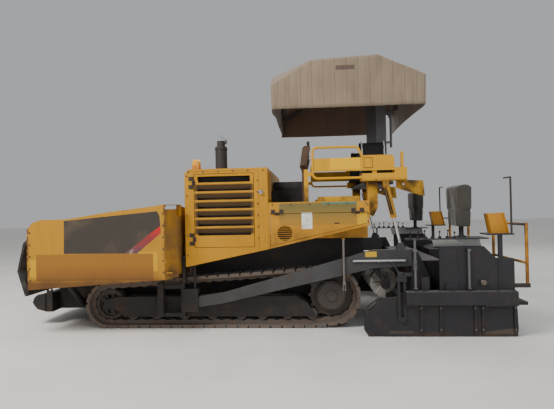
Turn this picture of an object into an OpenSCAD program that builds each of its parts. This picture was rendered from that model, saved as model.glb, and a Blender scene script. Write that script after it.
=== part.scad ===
// Asphalt paver on crawler tracks, in millimetres.
// +X points forward, +Y to the machine's left, +Z up; the origin lies on the ground.

/* [Hopper] */
// Front edge of the wing's side wall
wing_front_x = 2985; // [2960:5:3010]
// Rear edge of the flat part of the side wall
wing_rear_x = 1130; // [1110:5:1150]
// Front face of the wing's rear plate
wing_back_x = 1045; // [1040:5:1060]
// Outer face of the wing's side wall
wing_y = 1550; // [1500:10:1600]
// Height of the wing hinge
hinge_z = 740; // [730:5:750]
// Height of the wing's side wall at its rear
wing_top_z = 1715; // [1690:5:1730]
// Thickness of hopper and hood sheets
sheet = 15; // [10:1:18]

/* [Frame] */
// Height of the engine bed
bed_z = 1050; // [1030:5:1060]
// Height of the slat conveyor's floor
slat_floor_z = 450; // [430:5:460]
// Height of the operator deck
deck_z = 1715; // [1705:5:1725]
// Diameter of the rollers that push the truck
push_roller_d = 200; // [180:5:210]

/* [Hood] */
// Half width over the hood and side panels
body_y = 1220; // [1215:5:1230]
// Thickness of the hood's walls
wall = 25; // [20:1:30]
// Top of the hood
hood_top_z = 2190; // [2170:5:2210]
// Front face of the hood
hood_front_x = 955; // [945:5:957]
// Rear face of the hood
hood_rear_x = -180; // [-190:5:-175]
// Number of blades in a louvre door
louvre_n = 6; // [5:1:7]

/* [Tracks] */
// Width of the track shoes
shoe_w = 300; // [260:10:300]
// Distance from shoe to shoe
shoe_pitch = 154; // [150:1:165]
// Height of the rubber pad on a shoe
pad_h = 33; // [28:1:38]
// Height of the link rails below the shoe plates
link_h = 60; // [50:1:65]

/* [Screed] */
// Outer face of the end plate
gate_y = 1500; // [1490:5:1520]
// Diameter of the spreading augers
auger_d = 390; // [360:10:400]
// Pitch of the auger's flight
auger_pitch = 300; // [260:10:340]
// Running clearance of pins and shafts
run_gap = 0.05; // [0.02:0.01:0.1]

/* [Canopy] */
// Lower edge of the canopy cloth
canopy_low_z = 2975; // [2960:5:2990]
// Height of the canopy from its lower edge to its ridge
canopy_rise = 685; // [660:5:700]
// Half width of the canopy cloth
canopy_y = 1200; // [1180:5:1220]

/* [Hidden] */
$fn = 48;

yellow = [0.86, 0.60, 0.08];
dark = [0.16, 0.16, 0.17];
grey = [0.36, 0.37, 0.39];
black = [0.08, 0.08, 0.08];
steel = [0.72, 0.72, 0.70];
rubber = [0.10, 0.10, 0.10];
canvas = [0.42, 0.36, 0.28];

seat_gap = 0.3;
plate_t = 12;

// Across the machine: panels, tow arms, tracks, frame plates and wing hinges follow each other inwards
arm_t = 78;
arm_slip = 7;
track_slip = 10;
frame_slip = 100;
arm_y1 = body_y - wall - arm_slip;
arm_y0 = arm_y1 - arm_t;
track_y = arm_y0 - track_slip;
track_in_y = track_y - shoe_w;
frame_y = track_in_y - frame_slip;
hinge_y = frame_y + 20;
canopy_top_z = canopy_low_z + canopy_rise;

// Helper forms
module slab(low, high) { translate(low) cube(high - low); }
module side(points, y0, y1) {
    translate([0, y1, 0]) rotate([90, 0, 0]) linear_extrude(y1 - y0) polygon(points);
}
module across(points, x0, x1) {
    translate([x0, 0, 0]) rotate([90, 0, 90]) linear_extrude(x1 - x0) polygon(points);
}
module rod_y(x, z, r, y0, y1) { translate([x, y0, z]) rotate([-90, 0, 0]) cylinder(r = r, h = y1 - y0); }
module rod_x(y, z, r, x0, x1) { translate([x0, y, z]) rotate([0, 90, 0]) cylinder(r = r, h = x1 - x0); }
module post(x, y, r, z0, z1) { translate([x, y, z0]) cylinder(r = r, h = z1 - z0); }
module bar(p, q, r) {
    d = q - p;
    translate(p) rotate([0, acos(d[2] / norm(d)), atan2(d[1], d[0])]) cylinder(r = r, h = norm(d));
}
module both() {
    children();
    mirror([0, 1, 0]) children();
}
function arc(x, z, r, from, to, n = 8) =
    [for (i = [0:n]) let (a = from + (to - from) * i / n) [x + r * cos(a), z + r * sin(a)]];
// Tube bend in a plane along the machine, round its centre
module elbow(x, z, bend, from, to, y, r) {
    translate([x, y, z]) rotate([90, 0, 0]) rotate([0, 0, from]) rotate_extrude(angle = to - from)
        translate([bend, 0]) circle(r = r);
}
module one(s) { mirror([0, s < 0 ? 1 : 0, 0]) children(); }

// Belt path round three wheels: x, z and radius of each, counter-clockwise from the front
shoe_plate = 12;
path_h = pad_h + shoe_plate;
idler_x = 2115;
idler_z = 320;
sprocket_x = -1010;
sprocket_z = 430;
sprocket_r = 395;
tail_r = 180;
tail_x = sprocket_x + sprocket_r - tail_r + 55;
wheels = [
    [sprocket_x, sprocket_z, sprocket_r - pad_h],
    [tail_x, tail_r, tail_r - pad_h],
    [idler_x, idler_z, idler_z - pad_h]
];
function nxt(i) = (i + 1) % 3;
function lean(a, b) =
    atan2(b[1] - a[1], b[0] - a[0]) - 90
    + asin((a[2] - b[2]) / norm([b[0] - a[0], b[1] - a[1]]));
function wrap(a) = a < 0 ? wrap(a + 360) : a >= 360 ? wrap(a - 360) : a;
normals = [for (i = [0:2]) lean(wheels[i], wheels[nxt(i)])];
turns = [for (i = [0:2]) wrap(normals[i] - normals[(i + 2) % 3])];
arcs = [for (i = [0:2]) turns[i] * PI / 180 * wheels[i][2]];
function dir(a) = [cos(a), sin(a)];
function on_wheel(i, a, h) = [wheels[i][0], wheels[i][1]] + (wheels[i][2] + h) * dir(a);
lines = [for (i = [0:2]) norm(on_wheel(nxt(i), normals[i], 0) - on_wheel(i, normals[i], 0))];
marks = [
    0, arcs[0], arcs[0] + lines[0], arcs[0] + lines[0] + arcs[1],
    arcs[0] + lines[0] + arcs[1] + lines[1], arcs[0] + lines[0] + arcs[1] + lines[1] + arcs[2]
];
belt_len = marks[5] + lines[2];
shoe_n = round(belt_len / shoe_pitch);
shoe_step = belt_len / shoe_n;
// Angle of the outward normal at a distance along the belt
function angle_at(s) =
    s < marks[1] ? normals[2] + s / arcs[0] * turns[0]
    : s < marks[2] ? normals[0]
    : s < marks[3] ? normals[0] + (s - marks[2]) / arcs[1] * turns[1]
    : s < marks[4] ? normals[1]
    : s < marks[5] ? normals[1] + (s - marks[4]) / arcs[2] * turns[2]
    : normals[2];
function point_at(s) =
    s < marks[1] ? on_wheel(0, angle_at(s), 0)
    : s < marks[2] ? on_wheel(0, normals[0], 0) + (s - marks[1]) * dir(normals[0] + 90)
    : s < marks[3] ? on_wheel(1, angle_at(s), 0)
    : s < marks[4] ? on_wheel(1, normals[1], 0) + (s - marks[3]) * dir(normals[1] + 90)
    : s < marks[5] ? on_wheel(2, angle_at(s), 0)
    : on_wheel(2, normals[2], 0) + (s - marks[5]) * dir(normals[2] + 90);
// Pad outline in its own frame: distance along the belt, height above the shoe plate
pad_gap = 16;
pad_edge = 14;
pad_form = [
    [-shoe_step / 2 + pad_gap / 2, 0], [-shoe_step / 2 + pad_gap / 2, pad_h - pad_edge],
    [-shoe_step / 2 + pad_gap / 2 + pad_edge, pad_h], [shoe_step / 2 - pad_gap / 2 - pad_edge, pad_h],
    [shoe_step / 2 - pad_gap / 2, pad_h - pad_edge], [shoe_step / 2 - pad_gap / 2, 0]
];
pad_ring = [
    for (k = [0:shoe_n - 1]) let (s = (k + 0.5) * shoe_step, a = angle_at(s), p = point_at(s))
        for (q = pad_form) p + q[0] * dir(a + 90) + q[1] * dir(a)
];
arc_steps = 10;
function ring(h) = [
    for (i = [0:2]) for (j = [0:arc_steps])
        on_wheel(i, normals[(i + 2) % 3] + turns[i] * j / arc_steps, h)
];
module belt(outer, inner, y0, y1) {
    translate([0, y1, 0]) rotate([90, 0, 0]) linear_extrude(y1 - y0) difference() {
        polygon(outer);
        polygon(inner);
    }
}
rail_w = 36;
rail_low = track_y - shoe_w / 2 - 60;
rail_high = track_y - shoe_w / 2 + 60;
// Inner edge of the link rails, waisted between the pins
waist = 16;
link_ring = [
    for (k = [0:shoe_n - 1], w = [[0.12, 0], [0.5, waist], [0.88, 0]])
        let (s = (k + w[0]) * shoe_step, a = angle_at(s))
            point_at(s) + (w[1] - shoe_plate - link_h) * dir(a)
];
module track() {
    color(rubber) {
        belt(pad_ring, ring(-shoe_plate), track_in_y, track_y);
        belt(ring(-shoe_plate), ring(-shoe_plate - link_h), rail_low, rail_low + rail_w);
        belt(ring(-shoe_plate), link_ring, rail_high - rail_w, rail_high);
    }
}
module track_left() { track(); }
module track_right() { mirror([0, 1, 0]) track(); }

// Track frame: a channel over the rollers, its yoke reaches out to the idler's axle
roller_r = 75;
roller_z = path_h + link_h + roller_r;
beam_t = 14;
beam_in = rail_low - 24;
beam_out = rail_high + 24;
beam_top = 430;
roller_xs = [tail_x, -400, -60, 240, 640, 1040, 1440, 1780];
module track_frames() {
    cheek = [
        [-790, 150], [1900, 150], [2010, 250], [2200, 262], [2200, 378], [1980, beam_top],
        [-520, beam_top], [-690, 330]
    ];
    color(dark) both() {
        side(cheek, beam_in - beam_t, beam_in);
        side(cheek, beam_out, beam_out + beam_t);
        slab([-520, beam_in, beam_top - beam_t], [1860, beam_out, beam_top]);
        for (x = [300, 1300]) slab([x, frame_y, 270], [x + 160, beam_in - beam_t, 400]);
    }
}
// Wheels stay inside the chords of the link rails
function wheel_r(i) =
    (wheels[i][2] - shoe_plate - link_h) * cos(turns[i] / arc_steps / 2) - seat_gap;
idler_r = wheel_r(2);
hub_r = wheel_r(0);
drive_in = frame_y;
drive_r = 200;
tooth_n = 13;
tooth_t = 20;
module running_gear() {
    mid = track_y - shoe_w / 2;
    color(grey) both() {
        for (x = roller_xs) difference() {
            rod_y(x, roller_z, roller_r, beam_in, beam_out);
            rod_y(x, roller_z, 22, beam_in - 1, beam_out + 1);
        }
        difference() {
            rod_y(idler_x, idler_z, idler_r, mid - 55, mid + 55);
            rod_y(idler_x, idler_z, idler_r - 45, mid - 60, mid - 20);
            rod_y(idler_x, idler_z, idler_r - 45, mid + 20, mid + 60);
            for (k = [0:4]) rod_y(
                idler_x + 110 * cos(72 * k), idler_z + 110 * sin(72 * k), 30, mid - 21, mid + 21);
        }
        for (k = [0:4]) translate([idler_x, 0, idler_z]) rotate([0, 72 * k + 36, 0])
            slab([40, mid + 20, -8], [idler_r - 40, mid + 44, 8]);
        rod_y(idler_x, idler_z, 45, beam_in, mid - 20);
        rod_y(idler_x, idler_z, 45, mid + 20, beam_out);
        rod_y(sprocket_x, sprocket_z, hub_r, mid - tooth_t, mid + tooth_t);
        for (k = [0:tooth_n - 1]) translate([sprocket_x, 0, sprocket_z]) rotate([0, 360 * k / tooth_n, 0])
            side(
                [[hub_r - 8, -30], [hub_r + 30, -14], [hub_r + 30, 14], [hub_r - 8, 30]],
                mid - tooth_t, mid + tooth_t
            );
        rod_y(sprocket_x, sprocket_z, drive_r, drive_in, mid - tooth_t);
        rod_y(sprocket_x, sprocket_z, drive_r, mid + tooth_t, mid + 106);
        rod_y(sprocket_x, sprocket_z, drive_r - 22, mid + 106, mid + 124);
        rod_y(sprocket_x, sprocket_z, 70, mid + 124, mid + 140);
    }
}

// Frame: two side plates tied by the engine bed, with the slat tunnel between them
frame_low = 300;
frame_front = 3050;
frame_rear = -1400;
module main_frame() {
    plate = [
        [frame_rear, 520], [frame_rear + 120, frame_low], [2300, frame_low], [2480, 200],
        [frame_front, 200], [frame_front, hinge_z - 80], [1010, hinge_z - 80], [1010, bed_z - 10],
        [930, bed_z],
        [hood_rear_x, bed_z], [hood_rear_x, deck_z - wall], [-1500, deck_z - wall], [-1500, 760]
    ];
    color(dark) {
        both() {
            side(plate, frame_y - 20, frame_y);
            slab([-330, frame_y, 1450], [-280, body_y - wall, 1500]);
            slab([-1490, frame_y, 1450], [-1440, body_y - wall, 1500]);
            for (x = [cyl_x - eye_w / 2 - 14, cyl_x + eye_w / 2 + 2]) across([
                [frame_y, cyl_z - 60], [cyl_y + 10, cyl_z - 32], [cyl_y + 34, cyl_z],
                [cyl_y + 10, cyl_z + 32], [frame_y, cyl_z + 60]
            ], x, x + plate_t);
            rod_x(cyl_y, cyl_z, 14, cyl_x - eye_w / 2 - 14, cyl_x + eye_w / 2 + 14);
        }
    }
}
module engine_bed() {
    color(dark) {
        slab([frame_front - 15, 20 - frame_y, frame_low], [frame_front, frame_y - 20, hinge_z - 80]);
        slab([hood_rear_x, -frame_y, bed_z], [930, frame_y, bed_z + 30]);
        both() for (x = [40, 780]) slab([x, frame_y, bed_z], [x + 50, body_y - wall, bed_z + 50]);
        slab([-1500, 20 - frame_y, 800], [980, frame_y - 20, 820]);
        slab([-1380, -10, slat_floor_z + 60], [1200, 10, 800]);
        slab([-1500, 20 - frame_y, 1300], [-1480, frame_y - 20, deck_z - wall]);
    }
}
slat_rear = -1430;
module conveyor() {
    color(steel) {
        slab([slat_rear, 20 - frame_y, slat_floor_z - 15], [frame_front - 30, frame_y - 20, slat_floor_z]);
        for (s = [-1, 1], x = [slat_rear + 20:200:frame_front - 60])
            slab(
                [x, s > 0 ? 40 : 40 - frame_y, slat_floor_z],
                [x + 40, s > 0 ? frame_y - 40 : -40, slat_floor_z + 28]
            );
    }
}
module hopper_floor() {
    color(yellow) {
        slab([972, 20 - frame_y, 820], [987, frame_y - 20, 1600]);
        both() {
            for (x = [1120, 1760, 2400, 2880]) {
                rod_x(hinge_y, hinge_z, 26, x, x + 90);
                slab([x, frame_y - 20, hinge_z - 80], [x + 90, hinge_y, hinge_z - 20]);
            }
            rod_x(hinge_y, hinge_z, 12, 1115, 2975);
        }
    }
}
push_t = 100;
roller_reach = 120;
beam_front = frame_front + push_t;
roller_x = beam_front + roller_reach;
pin_r = 25;
clevis_x = beam_front + 65;
lash_z = 520;
roller_y0 = 150;
roller_y1 = 860;
roller_up = 330;
module push_beam() {
    color(dark) {
        slab([frame_front, -900, 190], [beam_front, 900, 470]);
        both() for (y = [roller_y0 - 60, roller_y1 + 5]) difference() {
            side([
                [beam_front, 200], [roller_x, 230], [roller_x + 75, roller_up],
                [roller_x, 440], [beam_front, 460]
            ], y, y + 50);
            rod_y(roller_x, roller_up, 25, y - 1, y + 51);
        }
        both() rod_y(roller_x, roller_up, 25, roller_y0 - 60, roller_y1 + 55);
        for (z = [270, 365]) difference() {
            slab([beam_front, -70, z], [clevis_x + 45, 70, z + 25]);
            post(clevis_x, 0, pin_r, z - 1, z + 26);
        }
        both() difference() {
            side([
                [frame_front + 10, 460], [frame_front + 10, lash_z], [frame_front + 30, lash_z + 40],
                [beam_front - 30, lash_z + 40], [beam_front - 10, lash_z], [beam_front - 10, 460]
            ], 865, 890);
            rod_y((frame_front + beam_front) / 2, lash_z, pin_r, 864, 891);
        }
    }
}
module push_roller(s) {
    color(grey) one(s) difference() {
        rod_y(roller_x, roller_up, push_roller_d / 2, roller_y0, roller_y1);
        rod_y(roller_x, roller_up, 25 + run_gap, roller_y0 - 1, roller_y1 + 1);
    }
}
module push_roller_left() { push_roller(1); }
module push_roller_right() { push_roller(-1); }
module hopper_apron() {
    color(rubber) side([
        [frame_front - 15, hinge_z - 80], [frame_front, hinge_z - 80], [frame_front + 80, 760],
        [frame_front + 110, 900], [frame_front + 90, 905], [frame_front + 60, 775], [frame_front - 15, 680]
    ], 20 - frame_y, frame_y - 20);
}

// Wing: side wall, floor, rear plate and hinge knuckles
wing_low_front = 625;
wing_low_rear = 745;
ear_x = 966;
ear_low = 1568;
floor_out_z = hinge_z + 100;
function under_floor(y) =
    hinge_z - sheet + (y - hinge_y - 34) / (wing_y - sheet - hinge_y - 34) * (floor_out_z - hinge_z);
module wing(s) {
    wall_form = [
        [wing_front_x, wing_low_front], [wing_front_x + 10, 1000], [wing_front_x + 5, 1420],
        [2920, 1509], [2800, 1548], [2456, 1550], [1852, 1635], [1212, wing_top_z - 10],
        [wing_rear_x, wing_top_z], [wing_rear_x, wing_low_rear]
    ];
    color(yellow) one(s) {
        side(wall_form, wing_y - sheet, wing_y);
        side([
            [2800, 1548], [2456, 1550], [1852, 1635], [1212, wing_top_z - 10], [wing_rear_x, wing_top_z],
            [wing_rear_x, wing_top_z - 30], [1212, wing_top_z - 40], [1852, 1605], [2456, 1520],
            [2800, 1518]
        ], wing_y - 50, wing_y - sheet);
        across([
            [hinge_y + 34, hinge_z + 2], [wing_y - sheet, floor_out_z],
            [wing_y - sheet, floor_out_z - sheet], [hinge_y + 34, hinge_z - sheet]
        ], wing_back_x, wing_front_x);
        translate([0, 0, wing_low_rear]) linear_extrude(wing_top_z - wing_low_rear - 60) polygon([
            [wing_rear_x, wing_y], [wing_back_x - sheet, wing_y - 250], [wing_back_x, wing_y - 250],
            [wing_rear_x + 10, wing_y - sheet]
        ]);
        across([
            [hinge_y + 34, hinge_z - sheet], [wing_y - 250, hinge_z + 45], [wing_y - 250, wing_top_z],
            [hinge_y + 70, wing_top_z - 60], [hinge_y + 34, wing_top_z - 110]
        ], wing_back_x - sheet, wing_back_x);
        translate([0, 0, ear_low]) linear_extrude(wing_top_z - ear_low) polygon([
            [wing_back_x - sheet, wing_y - 256], [ear_x, wing_y - 190], [ear_x + 6, wing_y - 178],
            [wing_back_x + 4, wing_y - 244]
        ]);
        translate([0, 0, wing_top_z - 10]) linear_extrude(10) polygon([
            [wing_rear_x + 90, wing_y - sheet], [wing_rear_x + 2, wing_y - 2], [ear_x + 6, wing_y - 178],
            [ear_x + 10, wing_y - 190], [wing_back_x - 3, wing_y - 254], [wing_back_x + 30, wing_y - 254]
        ]);
        side([
            [wing_rear_x + 20, 800], [wing_rear_x + 45, 800], [wing_rear_x + 45, wing_top_z - 60],
            [wing_rear_x + 20, wing_top_z - 60]
        ], wing_y - sheet - 45, wing_y - sheet);
        for (x = [1300, 2000, 2560]) difference() {
            union() {
                rod_x(hinge_y, hinge_z, 24, x, x + 110);
                slab([x, hinge_y, hinge_z - sheet], [x + 110, hinge_y + 36, hinge_z + 2]);
            }
            rod_x(hinge_y, hinge_z, 12 + run_gap, x - 1, x + 111);
        }
        for (x = [cyl_x - eye_w / 2 - 14, cyl_x + eye_w / 2 + 2])
            across([
                [wing_eye_y - 40, wing_eye_z - 40], [wing_eye_y + 40, wing_eye_z - 40],
                [wing_eye_y + 40, under_floor(wing_eye_y + 40) + 5],
                [wing_eye_y - 40, under_floor(wing_eye_y - 40) + 5]
            ], x, x + plate_t);
    }
}
module wing_left() { wing(1); }
module wing_right() { wing(-1); }
module wing_flap(s) {
    color(rubber) one(s) side([
        [wing_front_x + seat_gap, wing_low_front], [wing_front_x + 20, 545], [wing_front_x + 50, 550],
        [wing_front_x + 150, 875], [wing_front_x + 62, 1245], [wing_front_x + 8 + seat_gap, 1290],
        [wing_front_x + 8 + seat_gap, 1230], [wing_front_x + 42, 1205], [wing_front_x + 118, 875],
        [wing_front_x + 1 + seat_gap, 660]
    ], hinge_y + 140, wing_y - 5);
}
module wing_flap_left() { wing_flap(1); }
module wing_flap_right() { wing_flap(-1); }

// Rams: a barrel from its pivot at the origin along +Z, and the rod that slides in it
module ram_barrel(len, r, bore, eye_r, eye_w, pin) {
    difference() {
        union() {
            rotate([90, 0, 0]) cylinder(r = eye_r, h = eye_w, center = true);
            translate([0, 0, eye_r / 2]) cylinder(r = r, h = len - eye_r / 2);
        }
        translate([0, 0, eye_r + 50]) cylinder(r = bore, h = len);
        rotate([90, 0, 0]) cylinder(r = pin + run_gap, h = 3 * eye_w, center = true);
        for (y = [-1, 1]) translate([-1.5 * eye_r, y > 0 ? eye_w / 2 : -eye_w / 2 - 3 * r, -eye_r])
            cube([3 * eye_r, 3 * r, 2 * eye_r + 20]);
    }
}
module ram_rod(from, to, r, piston, eye_r, eye_w) {
    translate([0, 0, from]) cylinder(r = piston, h = 20);
    translate([0, 0, from]) cylinder(r = r, h = to - from - eye_r / 2);
    translate([0, 0, to]) rotate([90, 0, 0]) cylinder(r = eye_r, h = eye_w, center = true);
}
// Wing cylinder: barrel on the frame, rod eye under the wing's floor, in a plane across the machine
cyl_x = 2640;
cyl_y = 780;
cyl_z = 290;
wing_eye_y = 1250;
wing_eye_z = hinge_z - 40;
wing_ram = norm([wing_eye_y - cyl_y, wing_eye_z - cyl_z]);
wing_ram_turn = -atan2(wing_eye_y - cyl_y, wing_eye_z - cyl_z);
eye_w = 46;
module at_wing_ram(s) {
    one(s) translate([cyl_x, cyl_y, cyl_z]) rotate([wing_ram_turn, 0, 0]) rotate([0, 0, 90]) children();
}
module wing_barrel(s) { color(black) at_wing_ram(s) ram_barrel(500, 42, 32, 28, eye_w, 14); }
module wing_rod(s) {
    color(steel) at_wing_ram(s) ram_rod(wing_ram - 150, wing_ram, 22, 32 - run_gap, 28, eye_w);
}
module wing_barrel_left() { wing_barrel(1); }
module wing_barrel_right() { wing_barrel(-1); }
module wing_rod_left() { wing_rod(1); }
module wing_rod_right() { wing_rod(-1); }

// Lift cylinder of the screed: barrel under the guard's beam, rod eye over the tow arm
lift_y = (arm_y0 + arm_y1) / 2;
lift_top = [-1758, 1930];
lift_eye = [-1930, 1110];
lift_ram = norm(lift_eye - lift_top);
lift_turn = atan2(lift_eye[0] - lift_top[0], lift_eye[1] - lift_top[1]);
module at_lift(s) {
    one(s) translate([lift_top[0], lift_y, lift_top[1]]) rotate([0, lift_turn, 0]) children();
}
module lift_barrel(s) { color(yellow) at_lift(s) ram_barrel(460, 42, 33, 28, eye_w, 14); }
module lift_rod(s) {
    color(steel) at_lift(s) ram_rod(430, lift_ram, 21, 33 - run_gap, 24, eye_w);
}
module lift_barrel_left() { lift_barrel(1); }
module lift_barrel_right() { lift_barrel(-1); }
module lift_rod_left() { lift_rod(1); }
module lift_rod_right() { lift_rod(-1); }

// Hood: walls with a louvre opening on both sides
door_front = 826;
door_rear = 5;
door_low = 1128;
door_high = 2120;
slip = 6;
panel_rear = -1526;
seam_x = -62;
hood_low_front = 863;
hood_low_rear = 1090;
panel_low_rear = 1388;
module hood() {
    form = [
        [hood_front_x, hood_low_front], [hood_front_x, hood_top_z - 60], [hood_front_x - 50, hood_top_z],
        [hood_rear_x, hood_top_z], [hood_rear_x, hood_low_rear]
    ];
    color(yellow) {
        both() difference() {
            side(form, body_y - wall, body_y);
            slab(
                [door_rear, body_y - wall - 1, door_low - slip],
                [door_front, body_y + 1, door_high + slip]
            );
            slab([seam_x, body_y - 3, hood_low_front], [seam_x + 5, body_y + 1, hood_top_z - 30]);
            slab([seam_x, body_y - 3, hood_top_z - 34], [hood_front_x - 60, body_y + 1, hood_top_z - 30]);
        }
        both() slab(
            [hood_rear_x - 42, body_y - 75, 1760],
            [hood_rear_x, body_y - wall - 10, hood_top_z - 60]
        );
        both() for (z = grille_hinges) {
            for (k = [-1, 1]) translate([0, 0, z + k * (knuckle_l + 1)]) {
                slab(
                    [grille_hinge_x, body_y, -knuckle_l / 2],
                    [grille_hinge_x + 60, body_y + leaf_t, knuckle_l / 2]
                );
                post(grille_hinge_x, body_y + hinge_out, knuckle_r, -knuckle_l / 2, knuckle_l / 2);
            }
            post(grille_hinge_x, body_y + hinge_out, pin_d / 2, z - knuckle_l, z + knuckle_l);
        }
        side([
            [hood_front_x - wall, bed_z + 60], [hood_front_x, bed_z + 60], [hood_front_x, hood_top_z - 60],
            [hood_front_x - 50, hood_top_z], [hood_rear_x, hood_top_z], [hood_rear_x, deck_z + 5],
            [hood_rear_x + wall, deck_z + 5], [hood_rear_x + wall, hood_top_z - wall],
            [hood_front_x - 60, hood_top_z - wall], [hood_front_x - wall, hood_top_z - 70]
        ], wall - body_y, body_y - wall);
    }
}
blade_pitch = 119;
blade_t = 28;
blade_fall = 66;
door_band = 158;
// Door hinges stand on the outer face: a pin axis, a knuckle on the door and two on the body
knuckle_r = 11;
knuckle_l = 55;
leaf_t = 4;
hinge_out = 12;
pin_d = 10;
grille_hinge_x = door_front + 12;
grille_hinges = [1237, 2005];
flap_hinge_z = 1570;
flap_hinges = [-304, -1371];
module louvre_door(s) {
    x0 = door_rear + slip;
    x1 = door_front - slip;
    t = wall - 1;
    rim = 45;
    blade_z = door_high - 113;
    color(yellow) one(s) {
        difference() {
            slab([x0, body_y - t, door_low], [x1, body_y, door_high]);
            slab([x0 + rim, body_y - t - 1, door_low + door_band], [x1 - rim, body_y + 1, door_high - 32]);
        }
        for (k = [0:louvre_n - 1]) translate([0, 0, blade_z - k * blade_pitch]) across([
            [body_y, 0], [body_y, -blade_t], [body_y - t, -blade_t - blade_fall], [body_y - t, -blade_fall]
        ], x0 + rim, x1 - rim);
        for (z = grille_hinges) difference() {
            union() {
                slab(
                    [grille_hinge_x - 75, body_y, z - knuckle_l / 2],
                    [grille_hinge_x, body_y + leaf_t, z + knuckle_l / 2]
                );
                post(grille_hinge_x, body_y + hinge_out, knuckle_r, z - knuckle_l / 2, z + knuckle_l / 2);
            }
            post(grille_hinge_x, body_y + hinge_out, pin_d / 2 + run_gap, z - knuckle_l, z + knuckle_l);
        }
    }
}
module louvre_door_left() { louvre_door(1); }
module louvre_door_right() { louvre_door(-1); }

// Side panels below the deck, with an opening for the top-hinged door
side_door_top = 1560;
side_door_x0 = -1500;
side_door_x1 = -210;
function low_edge(x) =
    hood_low_rear + (hood_rear_x - x) / (hood_rear_x - panel_rear) * (panel_low_rear - hood_low_rear);
rim_h = 40;
module side_panels() {
    form = [
        [hood_rear_x - 2, low_edge(hood_rear_x - 2)], [hood_rear_x - 2, deck_z],
        [panel_rear, deck_z], [panel_rear, panel_low_rear]
    ];
    hole = [
        [side_door_x1 + slip, low_edge(side_door_x1) + rim_h - slip],
        [side_door_x1 + slip, side_door_top + slip],
        [side_door_x0 - slip, side_door_top + slip],
        [side_door_x0 - slip, low_edge(side_door_x0) + rim_h - slip]
    ];
    color(yellow) {
        both() difference() {
            side(form, body_y - wall, body_y);
            side(hole, body_y - wall - 1, body_y + 1);
        }
        both() for (x = flap_hinges) {
            for (k = [-1, 1]) translate([x + k * (knuckle_l + 1), 0, 0]) {
                slab(
                    [-knuckle_l / 2, body_y, flap_hinge_z],
                    [knuckle_l / 2, body_y + leaf_t, flap_hinge_z + 50]
                );
                rod_x(body_y + hinge_out, flap_hinge_z, knuckle_r, -knuckle_l / 2, knuckle_l / 2);
            }
            rod_x(body_y + hinge_out, flap_hinge_z, pin_d / 2, x - knuckle_l, x + knuckle_l);
        }
        slab([panel_rear, wall - body_y, 1500], [panel_rear + wall, body_y - wall, deck_z - wall]);
    }
}
vent_x = -402;
vent_z = 1300;
module side_door(s) {
    form = [
        [side_door_x1, low_edge(side_door_x1) + rim_h], [side_door_x1, side_door_top],
        [side_door_x0, side_door_top], [side_door_x0, low_edge(side_door_x0) + rim_h]
    ];
    color(yellow) one(s) {
        difference() {
            side(form, body_y - wall + 1, body_y);
            rod_y(vent_x, vent_z, 100, body_y - wall, body_y + 1);
        }
        for (i = [-3:3]) let (h = sqrt(100 * 100 - i * i * 28 * 28))
            slab(
                [vent_x - h - 2, body_y - wall + 1, vent_z + i * 28 - 5],
                [vent_x + h + 2, body_y - 6, vent_z + i * 28 + 5]
            );
        for (x = flap_hinges) difference() {
            union() {
                slab(
                    [x - knuckle_l / 2, body_y, flap_hinge_z - 60],
                    [x + knuckle_l / 2, body_y + leaf_t, flap_hinge_z]
                );
                rod_x(body_y + hinge_out, flap_hinge_z, knuckle_r, x - knuckle_l / 2, x + knuckle_l / 2);
            }
            rod_x(body_y + hinge_out, flap_hinge_z, pin_d / 2 + run_gap, x - knuckle_l, x + knuckle_l);
        }
    }
}
module side_door_left() { side_door(1); }
module side_door_right() { side_door(-1); }
module deck_floor() {
    color(grey) {
        slab([panel_rear, wall - body_y, deck_z - wall], [hood_rear_x, body_y - wall, deck_z]);
        slab([-1900, -930, 1940], [-1500, 930, 1977]);
    }
}

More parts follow.
